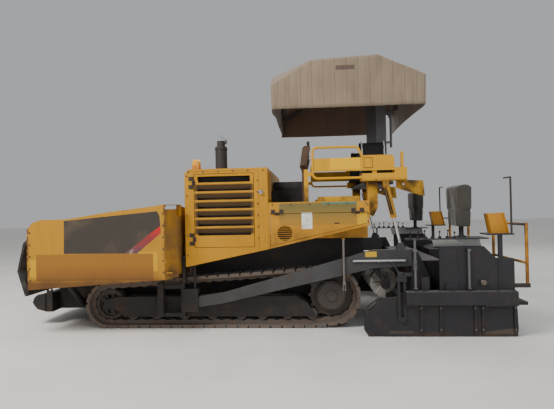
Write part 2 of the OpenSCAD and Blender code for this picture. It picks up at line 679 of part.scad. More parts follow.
// Operator station: guard frames, columns and beams
column_x0 = -1660;
column_z0 = 1500;
beam_z0 = 1977;
rail_x = -790;
rail_top = 2436;
rail_r = 17;
guard_x0 = -1869;
module guard_rails() {
    gy = 1185;
    color(yellow) both() {
        slab([-730, gy - 60, deck_z], [-670, gy, 2148]);
        slab([-1408, 1120, deck_z], [-848, 1160, deck_z + 65]);
        slab([-800, gy - 30, 2060], [-729, gy, 2110]);
        bar([rail_x, gy, 2092], [rail_x, gy, rail_top - 60], rail_r);
        elbow(rail_x - 60, rail_top - 60, 60, 0, 90, gy, rail_r);
        bar([rail_x - 60, gy, rail_top], [rail_x - 560, gy, rail_top], rail_r);
        elbow(rail_x - 560, rail_top - 60, 60, 90, 155, gy, rail_r);
        translate([rail_x - 560, gy, rail_top - 60]) rotate([0, 25, 0])
            bar([-60, 0, 0], [-60, 0, -115], rail_r);
        elbow(rail_x - 70, 2092, 70, 270, 360, gy, rail_r);
        bar([rail_x - 70, gy, 2022], [-1445, gy, 2022], rail_r);
        side(concat(
            [[rail_x - 5, 2290], [rail_x - 5, 2114], [guard_x0, 2114]],
            arc(guard_x0 + 60, 2258, 60, 180, 90), [[-1445, 2318], [-1430, 2290]]
        ), gy - 6, gy + 6);
        slab([-1555, gy + 6, 2150], [-1450, gy + 12, 2290]);
        slab([guard_x0, 940, beam_z0], [-1441, gy + 12, 2076]);
        slab([-1640, gy - 40, 2076], [-1580, gy - 6, 2200]);
        slab([-2031, 940, 1981], [guard_x0, gy + 12, 2149]);
        slab([-2000, 1100, 2149], [-1965, 1140, 2359]);
        difference() {
            side([
                [-1930, 1880], [-1930, 1990], [-2031, 1990], [-2290, 1975], [-2308, 1770], [-2245, 1775]
            ], 955, 980);
            rod_y(-2025, 1930, 16, 954, 981);
        }
        side([
            [panel_rear, column_z0 + 60], [panel_rear, beam_z0], [column_x0, beam_z0],
            [column_x0, column_z0 + 120], [-1600, column_z0]
        ], 930, 1070);
        for (y = [lift_y - eye_w / 2 - 14, lift_y + eye_w / 2 + 2]) difference() {
            side([[-1800, beam_z0], [-1790, 1900], [-1725, 1900], [-1710, beam_z0]], y, y + plate_t);
            rod_y(lift_top[0], lift_top[1], 14, y - 1, y + plate_t + 1);
        }
        rod_y(lift_top[0], lift_top[1], 14, lift_y - eye_w / 2 - 14, lift_y + eye_w / 2 + 14);
    }
}
// Consoles and seats face outwards on both sides of the deck
console_top = 2490;
module console() {
    color([0.28, 0.20, 0.14]) both() {
        side([
            [-617, 2215], [-655, 2465], [-690, console_top], [-763, console_top - 5], [-700, 2215]
        ], 640, 1040);
        side([[-640, 2150], [-610, 2216], [-705, 2216], [-690, 2150]], 740, 940);
        slab([-690, 800, deck_z], [-640, 860, 2160]);
        slab([-730, 760, deck_z], [-600, 900, deck_z + 12]);
    }
}
seat_x = -1665;
seat_half = 190;
seat_z = 2165;
module seat() {
    color(black) both() {
        slab([seat_x - 90, 740, beam_z0], [seat_x + 90, 900, seat_z - 86]);
        slab([seat_x - seat_half - 10, 690, seat_z - 87], [seat_x + seat_half + 10, 1030, seat_z]);
        across([
            [690, seat_z], [668, 2350], [640, 2545], [620, 2560], [590, 2560], [575, 2545],
            [620, seat_z - 87], [700, seat_z - 87], [700, seat_z]
        ], seat_x - seat_half, seat_x + seat_half);
        for (k = [-1, 1]) across([
            [640, 2330], [940, 2300], [950, 2320], [945, 2345], [640, 2375]
        ], seat_x + k * (seat_half + 18) - 16, seat_x + k * (seat_half + 18) + 16);
        for (k = [-1, 1]) slab(
            [seat_x + k * (seat_half + 8) - 10, 640, 2160],
            [seat_x + k * (seat_half + 8) + 10, 680, 2350]
        );
    }
}
tank_low = 1218;
pole_x = -1175;
module tanks() {
    color(yellow) both() {
        slab([-1513, frame_y, tank_low], [-761, track_y, 1440]);
        slab([pole_x - 18, track_y - 60, tank_low - 12], [pole_x + 18, arm_y1 + 36, tank_low]);
        post(pole_x, arm_y1 + 20, 14, 620, tank_low - 12);
        slab([pole_x - 20, arm_y1 + 4, 600], [pole_x + 20, arm_y1 + 36, 640]);
        for (k = [-20, 8]) slab([pole_x + k, arm_y1 + 8, 520], [pole_x + k + 12, arm_y1 + 32, 605]);
        rod_x(arm_y1 + 20, 540, 8, pole_x - 24, pole_x + 24);
    }
}
cloth_t = 30;
canopy_front = -250;
canopy_rear = -2298;
canopy_line = [
    [canopy_front, canopy_low_z], [canopy_front, canopy_top_z - 180], [-787, canopy_top_z - 32],
    [-1697, canopy_top_z], [canopy_rear, canopy_top_z - 154], [canopy_rear, canopy_low_z]
];
// Corners of the roof fall away: the skirt's own top edge is lower there
hip_in = 300;
eaves = [
    [canopy_front, canopy_low_z], [canopy_front, canopy_top_z - 350], [-800, canopy_top_z - 50],
    [-1697, canopy_top_z - 20], [-1860, canopy_top_z - 90], [canopy_rear, canopy_top_z - 290],
    [canopy_rear, canopy_low_z]
];
// A profile drawn in by the same amount at its top, front and rear; its ends at height low
function drawn_in(line, by, low) = let (last = len(line) - 1) [
    for (k = [0:last]) [
        line[k][0] + (k <= 1 ? -by : k >= last - 1 ? by : 0), k == 0 || k == last ? low : line[k][1] - by
    ]
];
module roof(by, low) {
    hull() {
        side(drawn_in(canopy_line, by, low), hip_in + by - canopy_y, canopy_y - hip_in - by);
        side(drawn_in(eaves, by, low), by - canopy_y, canopy_y - by);
    }
}
module canopy_cover() {
    color(canvas) difference() {
        roof(0, canopy_low_z);
        roof(cloth_t, canopy_low_z - 100);
        slab(
            [canopy_rear + cloth_t, -canopy_y - 1, canopy_low_z - 1],
            [mast_x0 - 45, cloth_t - canopy_y + 1, 3360]
        );
    }
}
mast_x0 = -1885;
mast_x1 = -1740;
hoop_t = 35;
// Cross bars: x, then how far under the roof's ridge the middle, the inner and the outer end lie
cross_bars = [[-350, 245, 220, 360], [-1270, 100, 80, 100], [-1770, 100, 70, 98], [-2255, 232, 195, 335]];
module hoop(line, y) {
    translate([0, y + hoop_t, 0]) rotate([90, 0, 0]) linear_extrude(hoop_t) intersection() {
        difference() {
            polygon(drawn_in(line, cloth_t + seat_gap, canopy_low_z - 100));
            polygon(drawn_in(line, cloth_t + 45, canopy_low_z - 101));
        }
        translate([canopy_rear, canopy_top_z - 400]) square([canopy_front - canopy_rear, 500]);
    }
}
module canopy_mast() {
    color(black) both() {
        slab([mast_x0, 450, beam_z0], [mast_x1, 550, canopy_top_z - 260]);
        hoop(canopy_line, 480);
        hoop(eaves, canopy_y - cloth_t - 66);
        for (b = cross_bars)
            bar([b[0] + 20, 490, canopy_top_z - b[2]], [b[0] + 20, 1150, canopy_top_z - b[3]], 16);
        slab([mast_x0, 480, canopy_top_z - 280], [mast_x1, 515, canopy_top_z - 100]);
        for (z = [2560, 3000]) slab([mast_x0 - 80, 485, z], [mast_x0 + 10, 515, z + 30]);
        post(mast_x0 - 75, 500, 18, 2500, 3060);
    }
    color(black) for (b = cross_bars)
        slab([b[0], -490, canopy_top_z - b[1]], [b[0] + 40, 490, canopy_top_z - b[1] + 40]);
}
stack_x = 730;
stack_y = -250;
module exhaust_stack() {
    color(dark) {
        difference() {
            union() {
                post(stack_x, stack_y, 100, hood_top_z, 2690);
                post(stack_x, stack_y, 108, 2640, 2662);
                post(stack_x, stack_y, 120, hood_top_z, hood_top_z + 12);
            }
            post(stack_x, stack_y, 50, 2300, 2700);
        }
        difference() {
            post(stack_x, stack_y, 68, 2690, 2790);
            post(stack_x, stack_y, 60, 2680, 2800);
        }
        for (y = [-22, 12]) slab([stack_x - 96, stack_y + y, 2740], [stack_x - 78, stack_y + y + 10, 2812]);
        for (y = [-22, 12]) slab([stack_x - 78, stack_y + y, 2740], [stack_x - 62, stack_y + y + 10, 2775]);
        rod_y(stack_x - 84, 2800, 5, stack_y - 22, stack_y + 22);
    }
}
cap_tilt = 35;
module rain_cap() {
    color(dark) translate([stack_x - 84, stack_y, 2800]) rotate([0, -cap_tilt, 0]) difference() {
        union() {
            translate([86, 0, 4]) cylinder(r = 72, h = 5);
            slab([0, -11, 4], [40, 11, 9]);
            rotate([90, 0, 0]) cylinder(r = 9, h = 22, center = true);
        }
        rotate([90, 0, 0]) cylinder(r = 5 + run_gap, h = 30, center = true);
    }
}
module air_cleaner() {
    color(black) {
        slab([-640, -200, deck_z], [-190, 620, 1900]);
        rod_x(250, 1935, 110, -640, -190);
    }
}
beacon_x = 840;
beacon_y = 1000;
module beacon() {
    color([0.95, 0.45, 0.05]) {
        post(beacon_x, beacon_y, 72, hood_top_z, hood_top_z + 30);
        post(beacon_x, beacon_y, 62, hood_top_z + 30, hood_top_z + 125);
        translate([beacon_x, beacon_y, hood_top_z + 125]) cylinder(r1 = 62, r2 = 40, h = 28);
    }
}
module engine_block() {
    color(dark) {
        slab([20, -450, bed_z + 30], [860, 450, 1900]);
        slab([120, -200, 1900], [760, 200, 2050]);
    }
}
module radiators() {
    color(dark) both() {
        slab([35, 1060, bed_z + 50], [800, 1140, 2080]);
        slab([35, 960, bed_z + 50], [60, 1060, 2080]);
        slab([775, 960, bed_z + 50], [800, 1060, 2080]);
    }
}

// Tow points: two guides and the levelling ram beside the track, on brackets from the frame
tow_x = 900;
tow_z = 366;
module tow_guides() {
    color(dark) both() {
        slab([1290, arm_y0, 180], [1370, arm_y1, 640]);
        slab([990, arm_y0, 180], [1040, arm_y1, 640]);
        slab([1040, arm_y0 + 20, 560], [1290, arm_y1 - 20, 620]);
        slab([1040, arm_y0 + 20, 180], [1290, arm_y1 - 20, 230]);
        slab([975, arm_y0, 640], [1015, arm_y1 - 5, 1010]);
        slab([975, frame_y, 860], [1010, arm_y0, 1010]);
        slab([800, arm_y0 + 5, 870], [975, arm_y1 - 5, 900]);
        bar([850, 1160, 560], [850, 1160, 870], 16);
        slab([830, arm_y0 - 16, 520], [870, arm_y1 + 16, 560]);
        slab([800, arm_y0 - 16, 250], [1010, arm_y0 - 6, 560]);
        slab([800, arm_y1 + 6, 250], [1010, arm_y1 + 16, 560]);
        rod_y(tow_x, tow_z, 35, arm_y0 - 16, arm_y1 + 16);
        slab([990, arm_y1, 250], [1010, arm_y1 + 16, 560]);
        slab([990, arm_y0 - 16, 250], [1010, arm_y0, 560]);
    }
}
sensor_x = -1285;
sensor_z = 915;
module tow_arms() {
    color(grey) both() difference() {
        union() {
            side([
                [tow_x + 5, 292], [tow_x + 70, 330], [tow_x + 70, 400], [tow_x + 5, 440], [445, 504],
                [-1100, 926],
                [-1317, 987], [-1567, 1058], [-2060, 1061], [-2060, 841], [-1567, 814], [-1100, 710],
                [445, 365]
            ], arm_y0, arm_y1);
            for (y = [lift_y - eye_w / 2 - 14, lift_y + eye_w / 2 + 2])
                side(
                    [[-1990, 1061], [-1960, 1145], [-1900, 1145], [-1870, 1061], [-1900, 1050]],
                    y, y + plate_t
                );
            rod_x(arm_y1 + 17, sensor_z, 14, -1994, sensor_x);
            for (x = [sensor_x - 16, -1640, -1960])
                slab([x, arm_y1 - 5, sensor_z - 22], [x + 14, arm_y1 + 33, sensor_z + 22]);
            bar([-1790, arm_y1 + 17, sensor_z], [-1905, arm_y1 + 17, 735], 11);
            slab([-1935, arm_y1 - 30, 690], [-1880, arm_y1 + 30, 760]);
            slab([-2059.8, arm_y1 - 30, 700], [-1880, arm_y1 - 8, 745]);
        }
        rod_y(tow_x, tow_z, 35 + run_gap, arm_y0 - 1, arm_y1 + 1);
    }
}

// Augers and the case that drives them
auger_x = -1735;
auger_z = 590;
case_y = 62;
auger_end = track_y - 15;
shaft_r = 55;
flight_t = 14;
flight_steps = 16;
module auger_frame() {
    color(dark) {
        side([
            [-1500, 700], [-1500, 900], [-1690, 900], [auger_x - 115, auger_z + 60],
            [auger_x - 115, auger_z - 50],
            [auger_x - 60, auger_z - 115], [auger_x + 60, auger_z - 115], [auger_x + 115, auger_z - 50],
            [auger_x + 115, auger_z + 80]
        ], 12 - case_y, case_y - 12);
        both() rod_y(auger_x, auger_z, 75, case_y - 12, case_y);
        both() {
            rod_y(auger_x, auger_z, 70, auger_end + seat_gap, track_y - 4);
            side([
                [auger_x - 40, auger_z], [auger_x + 40, auger_z], [-1540, 815], [-1540, 900], [-1600, 900]
            ], auger_end + seat_gap, track_y - 4);
            side(concat(
                arc(auger_x, auger_z, auger_d / 2 + 18, 25, 150),
                arc(auger_x, auger_z, auger_d / 2 + 30, 150, 25)
            ), auger_end - 60, auger_end + seat_gap + 2);
            slab([-1600, auger_end - 60, 780], [-1540, track_y - 4, 900]);
        }
        both() slab([-1600, case_y - 20, auger_z + auger_d / 2 + 25], [-1500, auger_end - 40, 900]);
    }
}
module flight(len) {
    n = floor(len / auger_pitch * flight_steps);
    points = [for (k = [0:n]) let (a = 360 * k / flight_steps, z = auger_pitch * k / flight_steps)
        for (q = [[shaft_r - 6, 0], [auger_d / 2, 0], [auger_d / 2, flight_t], [shaft_r - 6, flight_t]])
            [q[0] * cos(a), q[0] * sin(a), z + q[1]]];
    quads = [for (k = [0:n - 1], j = [0:3])
        [4 * k + (j + 1) % 4, 4 * k + 4 + (j + 1) % 4, 4 * k + 4 + j, 4 * k + j]];
    faces = concat(
        [[3, 2, 1, 0], [4 * n, 4 * n + 1, 4 * n + 2, 4 * n + 3]],
        [for (q = quads) [q[0], q[1], q[2]]],
        [for (q = quads) [q[0], q[2], q[3]]]
    );
    polyhedron(points, faces);
}
module auger(s) {
    len = auger_end - case_y - seat_gap;
    color(steel) one(s) translate([auger_x, case_y + seat_gap, auger_z]) rotate([-90, 0, 0])
        resize([auger_d, auger_d, len]) union() {
            rotate([0, 0, 180 / flight_steps]) cylinder(r = shaft_r, h = len, $fn = flight_steps);
            translate([0, 0, 10]) flight(len - 20 - flight_t);
        }
}
module auger_left() { auger(1); }
module auger_right() { auger(-1); }

// Screed: main box on the arms, extensions behind it
screed_low = 4;
module screed_box() {
    color(dark) {
        slab([-2480, -arm_y1 - 12, screed_low], [-1990, arm_y1 + 12, 330]);
        slab([-2480, -1110, 330], [-2080, 1110, 900]);
        both() {
            side([[-2060, 330], [-2060, 1061], [-2130, 1061], [-2300, 700], [-2300, 330]], arm_y0, arm_y1);
            difference() {
                slab([-2680, bush_y0, 520], [-2480, bush_y1, 720]);
                rod_y(tube_x, tube_z, tube_r + run_gap, bush_y0 - 1, bush_y1 + 1);
            }
        }
    }
}
bush_y0 = 960;
bush_y1 = 1110;
tube_x = -2580;
tube_z = 620;
tube_r = 60;
ext_y0 = 305;
ext_y1 = gate_y - 40;
module extension(s) {
    color(dark) one(s) {
        slab([-3080, ext_y0, screed_low], [-2500, ext_y1, 400]);
        rod_y(tube_x, tube_z, tube_r, 330, ext_y1);
        slab([-2660, 330, 400], [-2500, 350, 700]);
        slab([-3080, ext_y0 + 100, 400], [-2720, ext_y1, 900]);
        slab([-3400, ext_y0, 380], [-3080, ext_y1, 420]);
    }
}
module extension_left() { extension(1); }
module extension_right() { extension(-1); }
gate_x1 = -1391;
gate_x0 = -3262;
step_x1 = -1900;
step_x0 = -3228;
step_w = 100;
step_z0 = 411;
step_z1 = 571;
panel_y = gate_y - 10;
panel_z = 1114;
top_z = 1222;
guide_x = -1860;
spindle_xs = [-2030, -2680];
// Slanted hand slot: its two round ends
slot_a = [-1450, 338];
slot_b = [-1534, 424];
slot_r = 17;
slot_turn = atan2(slot_b[1] - slot_a[1], slot_b[0] - slot_a[0]);
module end_gate(s) {
    color(dark) one(s) {
        difference() {
            side([
                [gate_x1 - 50, screed_low + 2], [gate_x1, 85], [gate_x1, 336], [-1568, 477], [-1790, 490],
                [-1935, step_z1], [gate_x0 + 17, step_z1], [gate_x0, 100], [gate_x0 + 12, screed_low + 2]
            ], ext_y1, gate_y);
            side(concat(
                arc(slot_a[0], slot_a[1], slot_r, slot_turn + 90, slot_turn + 270),
                arc(slot_b[0], slot_b[1], slot_r, slot_turn - 90, slot_turn + 90)
            ), ext_y1 - 1, gate_y + 1);
        }
        // Upright guide with its long slot
        difference() {
            side(concat(
                arc(guide_x, 235, 50, 180, 360), [[guide_x + 50, 760], [guide_x - 50, 760]]
            ), gate_y, gate_y + 26);
            slab([guide_x - 20, gate_y - 1, 250], [guide_x + 20, gate_y + 27, 690]);
        }
        slab([guide_x - 60, gate_y - 25, 690], [guide_x + 60, gate_y + 34, 740]);
        slab([guide_x - 50, gate_y - 25, 480], [guide_x - 30, gate_y + 5, 700]);
        side([
            [-2334, step_z1 - 2], [-2334, panel_z], [-2876, panel_z], [-3018, 968], [-3235, 960],
            [-3235, step_z1 - 2]
        ], ext_y1, panel_y);
        slab([-2358, panel_y - 2, step_z1 + 2], [-2336, panel_y + 8, panel_z - 2]);
        slab([-2580, panel_y - 2, step_z1 + 2], [-2560, panel_y + 8, panel_z - 2]);
        slab([-3060, panel_y - 2, step_z1 + 2], [-3040, panel_y + 8, 960]);
        side([
            [-2290, panel_z - 1], [-2270, top_z - 15], [-2850, top_z - 15], [-2876, panel_z - 1]
        ], ext_y1 - 60, ext_y1 - 45);
        slab([-2860, ext_y1 - 60, panel_z - 20], [-2300, ext_y1 + 5, panel_z]);
        slab([-2920, ext_y1 - 260, top_z - 15], [-2560, gate_y, top_z]);
        slab([-2920, gate_y - 40, top_z - 15], [-1915, gate_y + 40, top_z]);
        // Step beam along the side, a folded channel
        across([
            [gate_y, step_z1], [gate_y + step_w, step_z1], [gate_y + step_w, step_z0],
            [gate_y + step_w - 12, step_z0], [gate_y + step_w - 12, step_z1 - 14], [gate_y, step_z1 - 14]
        ], step_x0, step_x1);
        for (x = [step_x0, -2837, -2330, step_x1 - 12])
            slab([x, gate_y, step_z0], [x + 12, gate_y + step_w - 6, step_z1 - 7]);
        slab([step_x0, gate_y + step_w - 12, step_z0 - 14], [-2840, gate_y + step_w, step_z0]);
        for (x = [-2110, -2345, -2760, -2850, -3235])
            slab([x, gate_y, screed_low + 30], [x + 26, gate_y + 16, step_z0 + 30]);
        slab([-3130, gate_y, 300], [-2930, gate_y + 6, 350]);
        slab([-2203, ext_y1 - 5, step_z1 - 2], [-2107, gate_y, 729]);
        side(
            [[-2400, step_z1 - 2], [-2400, 660], [-2550, 610], [-2550, step_z1 - 2]],
            gate_y - 12, gate_y + 12
        );
        // Height spindles with their springs and clamps
        for (x = spindle_xs) {
            post(x, gate_y + 24, 15, step_z1, x == spindle_xs[0] ? top_z - 14 : 1090);
            for (z = [step_z1 + 10, 1060]) slab([x - 24, panel_y - 10, z], [x + 24, gate_y + 44, z + 26]);
        }
        for (k = [0:6]) translate([spindle_xs[0], gate_y + 24, 840 + 18 * k])
            rotate_extrude() translate([20, 0]) circle(r = 6);
        slab([-2060, ext_y1, step_z1 - 2], [-2002, panel_y, 1086]);
        slab([-2700, ext_y1, 1030], [-2660, panel_y, 1086]);
        // Rear shelf on its post, and the arm that carries the rail
        slab([-3243, ext_y1 - 250, 1250], [-2931, gate_y, 1265]);
        slab([-3100, ext_y1, 950], [-3050, panel_y, 1251]);
        slab([-3420, ext_y1, 600], [-3230, gate_y - 8, 650]);
    }
}
module end_gate_left() { end_gate(1); }
module end_gate_right() { end_gate(-1); }
rear_post_x = -3390;
rear_post_y = gate_y - 24;
module rear_rail(s) {
    color(yellow) one(s) {
        side([[-3020, 1265], [-2975, 1513], [-3160, 1518], [-3215, 1265]], ext_y1 - 220, ext_y1 - 90);
        side([[-3215, 1265], [-3160, 1518], [-3172, 1522], [-3232, 1265]], ext_y1 - 235, ext_y1 - 75);
        post(rear_post_x, rear_post_y, 20, 650, 1395);
        post(rear_post_x, 500, 20, 420, 1395);
        for (z = [900, 1372]) bar([rear_post_x, 500, z], [rear_post_x, rear_post_y, z], 17);
        bar([rear_post_x, rear_post_y, 1380], [-3216, rear_post_y, 1380], 12);
        post(-3216, rear_post_y, 12, 1265, 1963);
        bar([-3216, rear_post_y, 1963], [-3216, rear_post_y - 190, 1963], 10);
    }
}
module rear_rail_left() { rear_rail(1); }
module rear_rail_right() { rear_rail(-1); }
// Covered control panel on its pedestal
cover_x1 = -2590;
cover_x0 = -2785;
cover_y0 = 880;
cover_y1 = 1450;
module control_cover(s) {
    color(canvas) one(s) {
        side([
            [cover_x1 - 10, 1370], [cover_x1, 1500], [cover_x1, 1850], [cover_x1 - 30, 1885],
            [cover_x0 + 30, 1890], [cover_x0, 1855], [cover_x0, 1500], [cover_x0 + 25, 1390]
        ], cover_y0, cover_y1);
        slab([-2720, 1210, top_z], [-2660, 1270, 1400]);
        slab([-2750, 1200, top_z], [-2630, 1280, top_z + 12]);
    }
}
module control_cover_left() { control_cover(1); }
module control_cover_right() { control_cover(-1); }

main_frame();
engine_bed();
hopper_floor();
conveyor();
push_beam();
hopper_apron();
track_frames();
track_left();
track_right();
running_gear();
engine_block();
radiators();
hood();
side_panels();
deck_floor();
guard_rails();
console();
seat();
tanks();
canopy_mast();
canopy_cover();
exhaust_stack();
rain_cap();
air_cleaner();
beacon();
tow_guides();
auger_frame();
wing_left();
wing_right();
wing_flap_left();
wing_flap_right();
push_roller_left();
push_roller_right();
wing_barrel_left();
wing_barrel_right();
wing_rod_left();
wing_rod_right();
louvre_door_left();
louvre_door_right();
side_door_left();
side_door_right();
auger_left();
auger_right();
tow_arms();
screed_box();
lift_barrel_left();
lift_barrel_right();
lift_rod_left();
lift_rod_right();
extension_left();
extension_right();
end_gate_left();
end_gate_right();
rear_rail_left();
rear_rail_right();
control_cover_left();
control_cover_right();
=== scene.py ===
"""Looks of the asphalt paver: finishes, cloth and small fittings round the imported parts.

Everything is in metres in the parts' own frame: +X forward, +Y to the machine's left, +Z up.
"""

import math

import bmesh
import bpy
from mathutils import Matrix, Vector, noise


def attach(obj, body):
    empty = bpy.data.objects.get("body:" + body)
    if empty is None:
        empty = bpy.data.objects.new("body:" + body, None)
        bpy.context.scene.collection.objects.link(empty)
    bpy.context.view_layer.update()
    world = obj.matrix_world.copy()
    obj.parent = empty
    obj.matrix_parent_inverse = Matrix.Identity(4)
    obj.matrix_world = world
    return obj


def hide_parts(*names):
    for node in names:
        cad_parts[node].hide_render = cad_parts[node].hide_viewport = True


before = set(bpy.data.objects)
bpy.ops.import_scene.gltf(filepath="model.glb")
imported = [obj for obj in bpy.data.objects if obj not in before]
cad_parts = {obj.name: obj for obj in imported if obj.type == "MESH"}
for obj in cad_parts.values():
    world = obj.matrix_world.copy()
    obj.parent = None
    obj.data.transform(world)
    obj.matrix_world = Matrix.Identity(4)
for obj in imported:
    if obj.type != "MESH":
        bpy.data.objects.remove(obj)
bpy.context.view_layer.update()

# Each side's name, and its sign along +Y
SIDES = {"left": 1, "right": -1}


def new_object(name, data):
    made = bpy.data.objects.new(name, data)
    bpy.context.scene.collection.objects.link(made)
    return made


# Camera

CAMERA_AT = Vector((-0.7293, 7.1019, 1.6414))
CAMERA_YAW = 0.0723
CAMERA_PITCH = 0.0078
CAMERA_ROLL = -0.0213
FOCAL_PIXELS = 440.0
IMAGE_WIDTH = 554
SENSOR = 36.0


def add_camera():
    data = bpy.data.cameras.new("camera")
    data.sensor_width = SENSOR
    data.sensor_fit = "HORIZONTAL"
    data.lens = FOCAL_PIXELS / IMAGE_WIDTH * SENSOR
    camera = new_object("camera", data)
    ahead = Vector((
        math.sin(CAMERA_YAW) * math.cos(CAMERA_PITCH),
        -math.cos(CAMERA_YAW) * math.cos(CAMERA_PITCH),
        math.sin(CAMERA_PITCH),
    ))
    level_right = ahead.cross(Vector((0, 0, 1))).normalized()
    level_up = level_right.cross(ahead)
    right = level_right * math.cos(CAMERA_ROLL) + level_up * math.sin(CAMERA_ROLL)
    up = level_up * math.cos(CAMERA_ROLL) - level_right * math.sin(CAMERA_ROLL)
    turn = Matrix((right, up, -ahead)).transposed().to_4x4()
    camera.matrix_world = Matrix.Translation(CAMERA_AT) @ turn
    bpy.context.scene.camera = camera


add_camera()


# Finishes

def rgb(red, green, blue):
    """Linear colour of a screen colour given from 0 to 255."""
    def linear(part):
        part /= 255
        return part / 12.92 if part <= 0.04045 else ((part + 0.055) / 1.055) ** 2.4
    return (linear(red), linear(green), linear(blue), 1.0)


def tinted(colour, factor, lift=0.0):
    """A colour made lighter or darker."""
    return tuple(min(1.0, part * factor + lift) for part in colour[:3]) + (1.0,)


# Sockets of a mix node for each kind: the one under, the one over, the result
MIX_SOCKETS = {"RGBA": (6, 7, 2), "FLOAT": (2, 3, 0)}
# How far a normal leans sideways on an outer face, and the bend that counts as an edge
SIDEWAYS = 0.8
BEND = (0.02, 0.3)


class Finish:
    """A procedural material: a base colour with worn, dusty or stained layers laid over it."""

    def __init__(self, name, colour, rough=0.6, metal=0.0):
        self.material = bpy.data.materials.new(name)
        self.material.use_nodes = True
        self.tree = self.material.node_tree
        self.shader = self.tree.nodes["Principled BSDF"]
        self.shader.inputs["Metallic"].default_value = metal
        self.colour = colour
        self.rough = rough
        self.height = None
        coords = self.node("ShaderNodeTexCoord").outputs
        self.spot, self.normal = coords["Object"], coords["Normal"]

    def node(self, kind, feeds=None, **settings):
        """A new node with its settings, and what feeds its inputs, by their name or number."""
        made = self.tree.nodes.new(kind)
        for key, value in settings.items():
            setattr(made, key, value)
        for key, value in (feeds or {}).items():
            self.link(value, made.inputs[key])
        return made

    def link(self, value, socket):
        """Feeds a socket from another node's output, or sets it to a number or a colour."""
        if isinstance(value, (int, float, tuple)):
            socket.default_value = value
        else:
            self.tree.links.new(value, socket)

    def math(self, operation, a, b=0.0):
        return self.node("ShaderNodeMath", {0: a, 1: b}, operation=operation).outputs[0]

    def join(self, operation, masks):
        joined = masks[0]
        for mask in masks[1:]:
            joined = self.math(operation, joined, mask)
        return joined

    def times(self, *masks):
        return self.join("MULTIPLY", masks)

    def most(self, *masks):
        return self.join("MAXIMUM", masks)

    def inverse(self, mask):
        return self.math("SUBTRACT", 1.0, mask)

    def ramp(self, value, low, high):
        """0 at low and 1 at high, smooth between them."""
        feeds = {"Value": value, "From Min": low, "From Max": high}
        return self.node("ShaderNodeMapRange", feeds, interpolation_type="SMOOTHSTEP").outputs["Result"]

    def noise(self, scale, stretch=(1, 1, 1), detail=2.0, seed=0.0):
        """Noise over the machine, its space stretched along each axis."""
        space = self.node("ShaderNodeMapping", {"Vector": self.spot, "Scale": stretch}).outputs["Vector"]
        feeds = {"Vector": space, "Scale": scale, "Detail": detail, "W": seed}
        return self.node("ShaderNodeTexNoise", feeds, noise_dimensions="4D").outputs["Fac"]

    def cloud(self, scale, low=0.0, high=1.0, detail=4.0, stretch=(1, 1, 1), seed=0.0):
        """Patches of noise: 0 below low, 1 above high."""
        return self.ramp(self.noise(scale, stretch, detail, seed), low, high)

    def specks(self, scale, low, high, **rest):
        """Patches with fine ragged edges."""
        return self.cloud(scale, low, high, detail=8.0, **rest)

    def part(self, vector, axis):
        """One coordinate of a vector; W is Y without its sign."""
        parts = self.node("ShaderNodeSeparateXYZ", {0: vector}).outputs
        return self.math("ABSOLUTE", parts["Y"]) if axis == "W" else parts[axis]

    def at(self, axis):
        """A coordinate on the machine; W is the distance from its middle plane."""
        return self.part(self.spot, axis)

    def along(self, axis, low, high):
        """0 at low and 1 at high along an axis of the machine."""
        return self.ramp(self.at(axis), low, high)

    def beyond(self, axis, limit):
        """1 where a coordinate on the machine is over the limit."""
        return self.math("GREATER_THAN", self.at(axis), limit)

    def facing(self, axis, low, high):
        """Where the surface faces along an axis: 0 at low and 1 at high of the normal's part."""
        return self.ramp(self.part(self.normal, axis), low, high)

    def outer(self, distance):
        """1 on faces that look away from the middle plane, further out than a distance."""
        lean = self.part(self.normal, "W")
        return self.times(self.math("GREATER_THAN", lean, SIDEWAYS), self.beyond("W", distance))

    def region(self, corners, soft=0.002, ragged=0.0):
        """1 inside a convex outline given clockwise as x, z points seen with +X to the right."""
        grain = self.cloud(30.0, detail=6.0, seed=20.0)
        wobble = self.times(self.math("SUBTRACT", grain, 0.5), ragged)
        mask = 1.0
        for (x0, z0), (x1, z1) in zip(corners, corners[1:] + corners[:1]):
            length = math.hypot(x1 - x0, z1 - z0)
            in_x, in_z = (z1 - z0) / length, (x0 - x1) / length
            start = -(in_x * x0 + in_z * z0)
            level = self.math("ADD", self.times(self.at("X"), in_x), self.times(self.at("Z"), in_z))
            inward = self.math("ADD", level, self.math("ADD", wobble, start))
            mask = self.times(mask, self.ramp(inward, -soft, soft))
        return mask

    def block(self, x0, x1, z0, z1, soft=0.002, ragged=0.0):
        """1 inside a field: a rectangle seen from the side."""
        return self.region([(x0, z0), (x0, z1), (x1, z1), (x1, z0)], soft, ragged)

    def dot(self, a, b):
        return self.node("ShaderNodeVectorMath", {0: a, 1: b}, operation="DOT_PRODUCT").outputs["Value"]

    def rounded(self, radius):
        """The surface's normal with its edges rounded."""
        return self.node("ShaderNodeBevel", {"Radius": radius}, samples=4).outputs[0]

    def field(self, mask, place, **outline):
        """The part of a mask inside a field."""
        return self.times(mask, self.block(*place, **outline))

    def edges(self, radius):
        """1 on convex and concave edges, 0 on flat faces."""
        plain = self.node("ShaderNodeNewGeometry").outputs["Normal"]
        return self.ramp(self.inverse(self.dot(self.rounded(radius), plain)), *BEND)

    def mix(self, kind, mask, under, over):
        """What is under where the mask is 0, what is over where it is 1."""
        low, high, result = MIX_SOCKETS[kind]
        feeds = {"Factor": mask, low: under, high: over}
        return self.node("ShaderNodeMix", feeds, data_type=kind).outputs[result]

    def lay(self, colour, mask, share=None, rough=None):
        """Lays a share of a colour, and of a roughness, over the finish where the mask is 1."""
        if share is not None:
            mask = self.times(mask, share)
        self.colour = self.mix("RGBA", mask, self.colour, colour)
        if rough is not None:
            self.rough = self.mix("FLOAT", mask, self.rough, rough)

